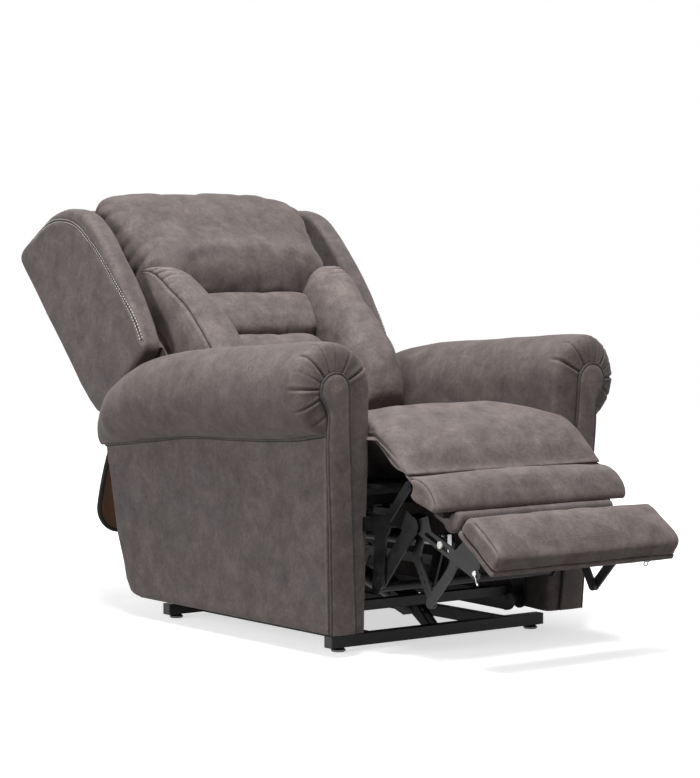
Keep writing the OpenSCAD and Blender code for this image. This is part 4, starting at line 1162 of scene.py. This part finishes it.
# ---------------------------------------------------------------- CAD nodes keep their own meshes
# Fabric-covered CAD nodes take the darker suede copy, which carries painted shade.
LOOK = {"suede": SUEDE_SHADED_SIDE, "black_steel": STEEL, "rod_steel": ROD, "foot_metal": CHROME, "cap_plastic": CAP,
        "motor_plastic": MOTOR, "plywood": PLY, "hardboard": HARDBOARD, "grey_felt": FELT}
NODE_LOOK = {"calf_board": FELT, "back_core": SUEDE_SHADED_SIDE}
SLOT_OF = {s["node"]: s["material_slot"] for s in frame["record"]["subparts"]}
for name, ob in frame["nodes"].items():
    look = NODE_LOOK.get(name, LOOK[SLOT_OF[name]])
    if name.startswith(("scissor", "foot_arm")):
        look = STEEL_GREY
    ob.data.materials.clear()
    ob.data.materials.append(look)

# ---------------------------------------------------------------- camera, light, backdrop and floor
cam = bpy.data.objects.new("camera", bpy.data.cameras.new("camera"))
SCENE.collection.objects.link(cam)
cam.location = (-3.798, -5.019, 0.931)
cam.rotation_euler = (math.radians(86.75), 0, math.radians(-37.28))
cam.data.lens = 118.9
cam.data.sensor_width = 36
cam.data.clip_end = 60
SCENE.camera = cam
SCENE.view_settings.view_transform = "Standard"


def area(name, at, to, size, watts):
    """A round lamp at one point, turned to another."""
    d = bpy.data.lights.new(name, "AREA")
    d.shape = "DISK"
    d.size = size
    d.energy = watts
    o = bpy.data.objects.new(name, d)
    SCENE.collection.objects.link(o)
    o.location = at
    o.rotation_euler = (Vector(to) - Vector(at)).to_track_quat("-Z", "Y").to_euler()


area("key", (-1.1, -1.5, 4.4), (0, 0.0, 0.5), 1.5, 204)
area("top", (0.3, 0.8, 3.6), (0, 0.1, 0.6), 1.8, 42)
area("side", (-4.3, 0.0, 1.3), (0, 0.1, 0.5), 1.5, 96)
area("front", (-1.2, -4.6, 0.6), (0, -0.2, 0.4), 1.2, 17)
area("fill", (3.4, -3.2, 1.8), (0, -0.2, 0.45), 3.0, 8)


def backdrop_mix(nt, unseen, seen, kind):
    """Camera, mirror and glass rays meet the white studio, every other ray the plain light that it gives."""
    path = node(nt, "LightPath")
    total = path.outputs["Is Camera Ray"]
    for ray in ("Is Glossy Ray", "Is Transmission Ray"):
        total = node(nt, "Math", total, path.outputs[ray], operation="ADD", use_clamp=True).outputs[0]
    node(nt, kind, node(nt, "MixShader", total, unseen.outputs[0], seen.outputs[0]).outputs[0])


world = bpy.data.worlds.new("world")
SCENE.world = world
world.use_nodes = True
wt = world.node_tree
wt.nodes.clear()
sep = node(wt, "SeparateXYZ", node(wt, "TexCoord").outputs["Generated"])
height = node(wt, "Math", sep.outputs["Z"], 0.5, 0.5, operation="MULTIPLY_ADD")
sky = ramp(wt, height.outputs[0], [(0.0, 0.10), (0.46, (0.26, 0.26, 0.265)), (0.56, (0.72, 0.72, 0.73)),
                                   (1.0, 1)])
backdrop_mix(wt, node(wt, "Background", sky, Strength=0.29), node(wt, "Background", (1, 1, 1, 1)),
             "OutputWorld")

# a round white floor: it keeps the soft shadow of the chair and fades into the backdrop towards its rim
FLOOR_R, FLOOR_SIDES = 7.0, 96
mat = bpy.data.materials.new("floor")
mat.use_nodes = True
ft = mat.node_tree
ft.nodes.clear()
dist = node(ft, "VectorMath", node(ft, "TexCoord").outputs["Object"], operation="LENGTH")
away = node(ft, "MapRange", dist.outputs["Value"], From_Min=1.3, From_Max=3.0, To_Min=0.62, To_Max=1.0)
glow = node(ft, "Emission", Strength=away.outputs[0])
lit = node(ft, "AddShader", node(ft, "BsdfDiffuse", (0.8, 0.8, 0.8, 1)).outputs[0], glow.outputs[0])
backdrop_mix(ft, node(ft, "BsdfDiffuse", (0.09, 0.09, 0.09, 1)), lit, "OutputMaterial")
disc = bpy.data.meshes.new("floor")
disc.from_pydata([(FLOOR_R * math.cos(a), FLOOR_R * math.sin(a), 0) for a in circle(FLOOR_SIDES)], [],
                 [list(range(FLOOR_SIDES))])
disc.materials.append(mat)
floor = bpy.data.objects.new("floor", disc)
floor.location = (0, 0, -0.0005)
SCENE.collection.objects.link(floor)
floor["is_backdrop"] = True


# ---------------------------------------------------------------- the cushions' fill, then seams and stitches
def behind(depth):
    """Held where the cushion lies on the back, free over its face."""
    across = np.array([0, -math.sin(BACK_TURN), math.cos(BACK_TURN)])

    def held(mm):
        return 1 - smoothstep(depth - 12, depth + 18, (mm - np.array([0, *BACK_FOOT])) @ across)
    return held


def beneath(points, reach):
    """Held below a line of (y, z) points, free above it."""
    def held(mm):
        return 1 - smoothstep(0, reach, mm[:, 2] - between(points, mm[:, 1]))
    return held


cushioned(headrest, behind(CORE_TOP + 40), 4.0, 0.007)
cushioned(lumbar_upper, behind(CORE_TOP + 36), 4.5, 0.009)
cushioned(lumbar_lower, behind(CORE_TOP + 36), 4.5, 0.009)
for side in (1, -1):
    cushioned(BOLSTERS[side][0], behind(CORE_TOP + 60), 3.5, 0.007)
cushioned(seat, beneath([(-145, 430), (-100, 470), (0, 512), (110, 500), (330, 450), (560, 415)], 14), 3.5,
          0.010)
cushioned(calf, beneath([(-232, 362), (-200, 396), (-150, 412), (-100, 440)], 10), 3.5, 0.006)
cushioned(foot, beneath([(-430, 250), (-404, 262), (-292, 330), (-270, 330)], 14), 3.5, 0.007)
if SIMS:
    run_simulations()
bpy.context.view_layer.update()
for side in (1, -1):
    tag = TAG[side]
    ob, line = WINGS[side]
    on, no = snapped(ob, line, -0.2)
    crease(ob, on, 2.4, 5.0, 1.0)
    across = np.cross(unit(np.gradient(on, axis=0)), no)
    for k, off in enumerate((-3.4, 3.4)):
        beside, beside_no = snapped(ob, on + across * off, 0.15)
        trim(stitch_line("wing_stitches_%s_%d" % (tag, k), beside, beside_no, 9.0, 5.2, 0.85, 0.8), "back")
    trim(tube("wing_seam_" + tag, on, 0.7, SUEDE_WELT, 6), "back")
    ob, line = BOLSTERS[side]
    on, _ = snapped(ob, line, -0.3)
    # a very dark cord laid in the bolster's seam: a painted seam shadow
    trim(tube("bolster_seam_" + tag, on, 0.9, SEAM_SHADOW_LINE, 6), "back")


def side_seam(name, ob, ring_pts, half, body):
    """The boxing seam near each side of a slab, over part of its outline, with its painted shadow cord."""
    ring = resample(rounded(ring_pts, 2, closed=False), 90)
    for side in (-1, 1):
        line = np.column_stack([np.full(len(ring), side * half), ring])
        trim(seam(name + "_" + TAG[side], ob, line, 0.9, 1.8, 4.5, 0.8), body)


side_seam("calf_seam", calf, CALF_RING[17:26], COVER_HALF - 0.15 * 12, "calf")
side_seam("foot_seam", foot, FOOT_RING[2:12], FOOT_HALF - 0.3 * 13, "foot")
tuple(row([0, -88, 470]))
tuple(row([0, -146, 418]))
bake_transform(seat)
low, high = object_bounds()
({"cad": [list(map(float, v)) for v in CAD_BOX],
           "visual": [list(map(float, v)) for v in (low, high)]})
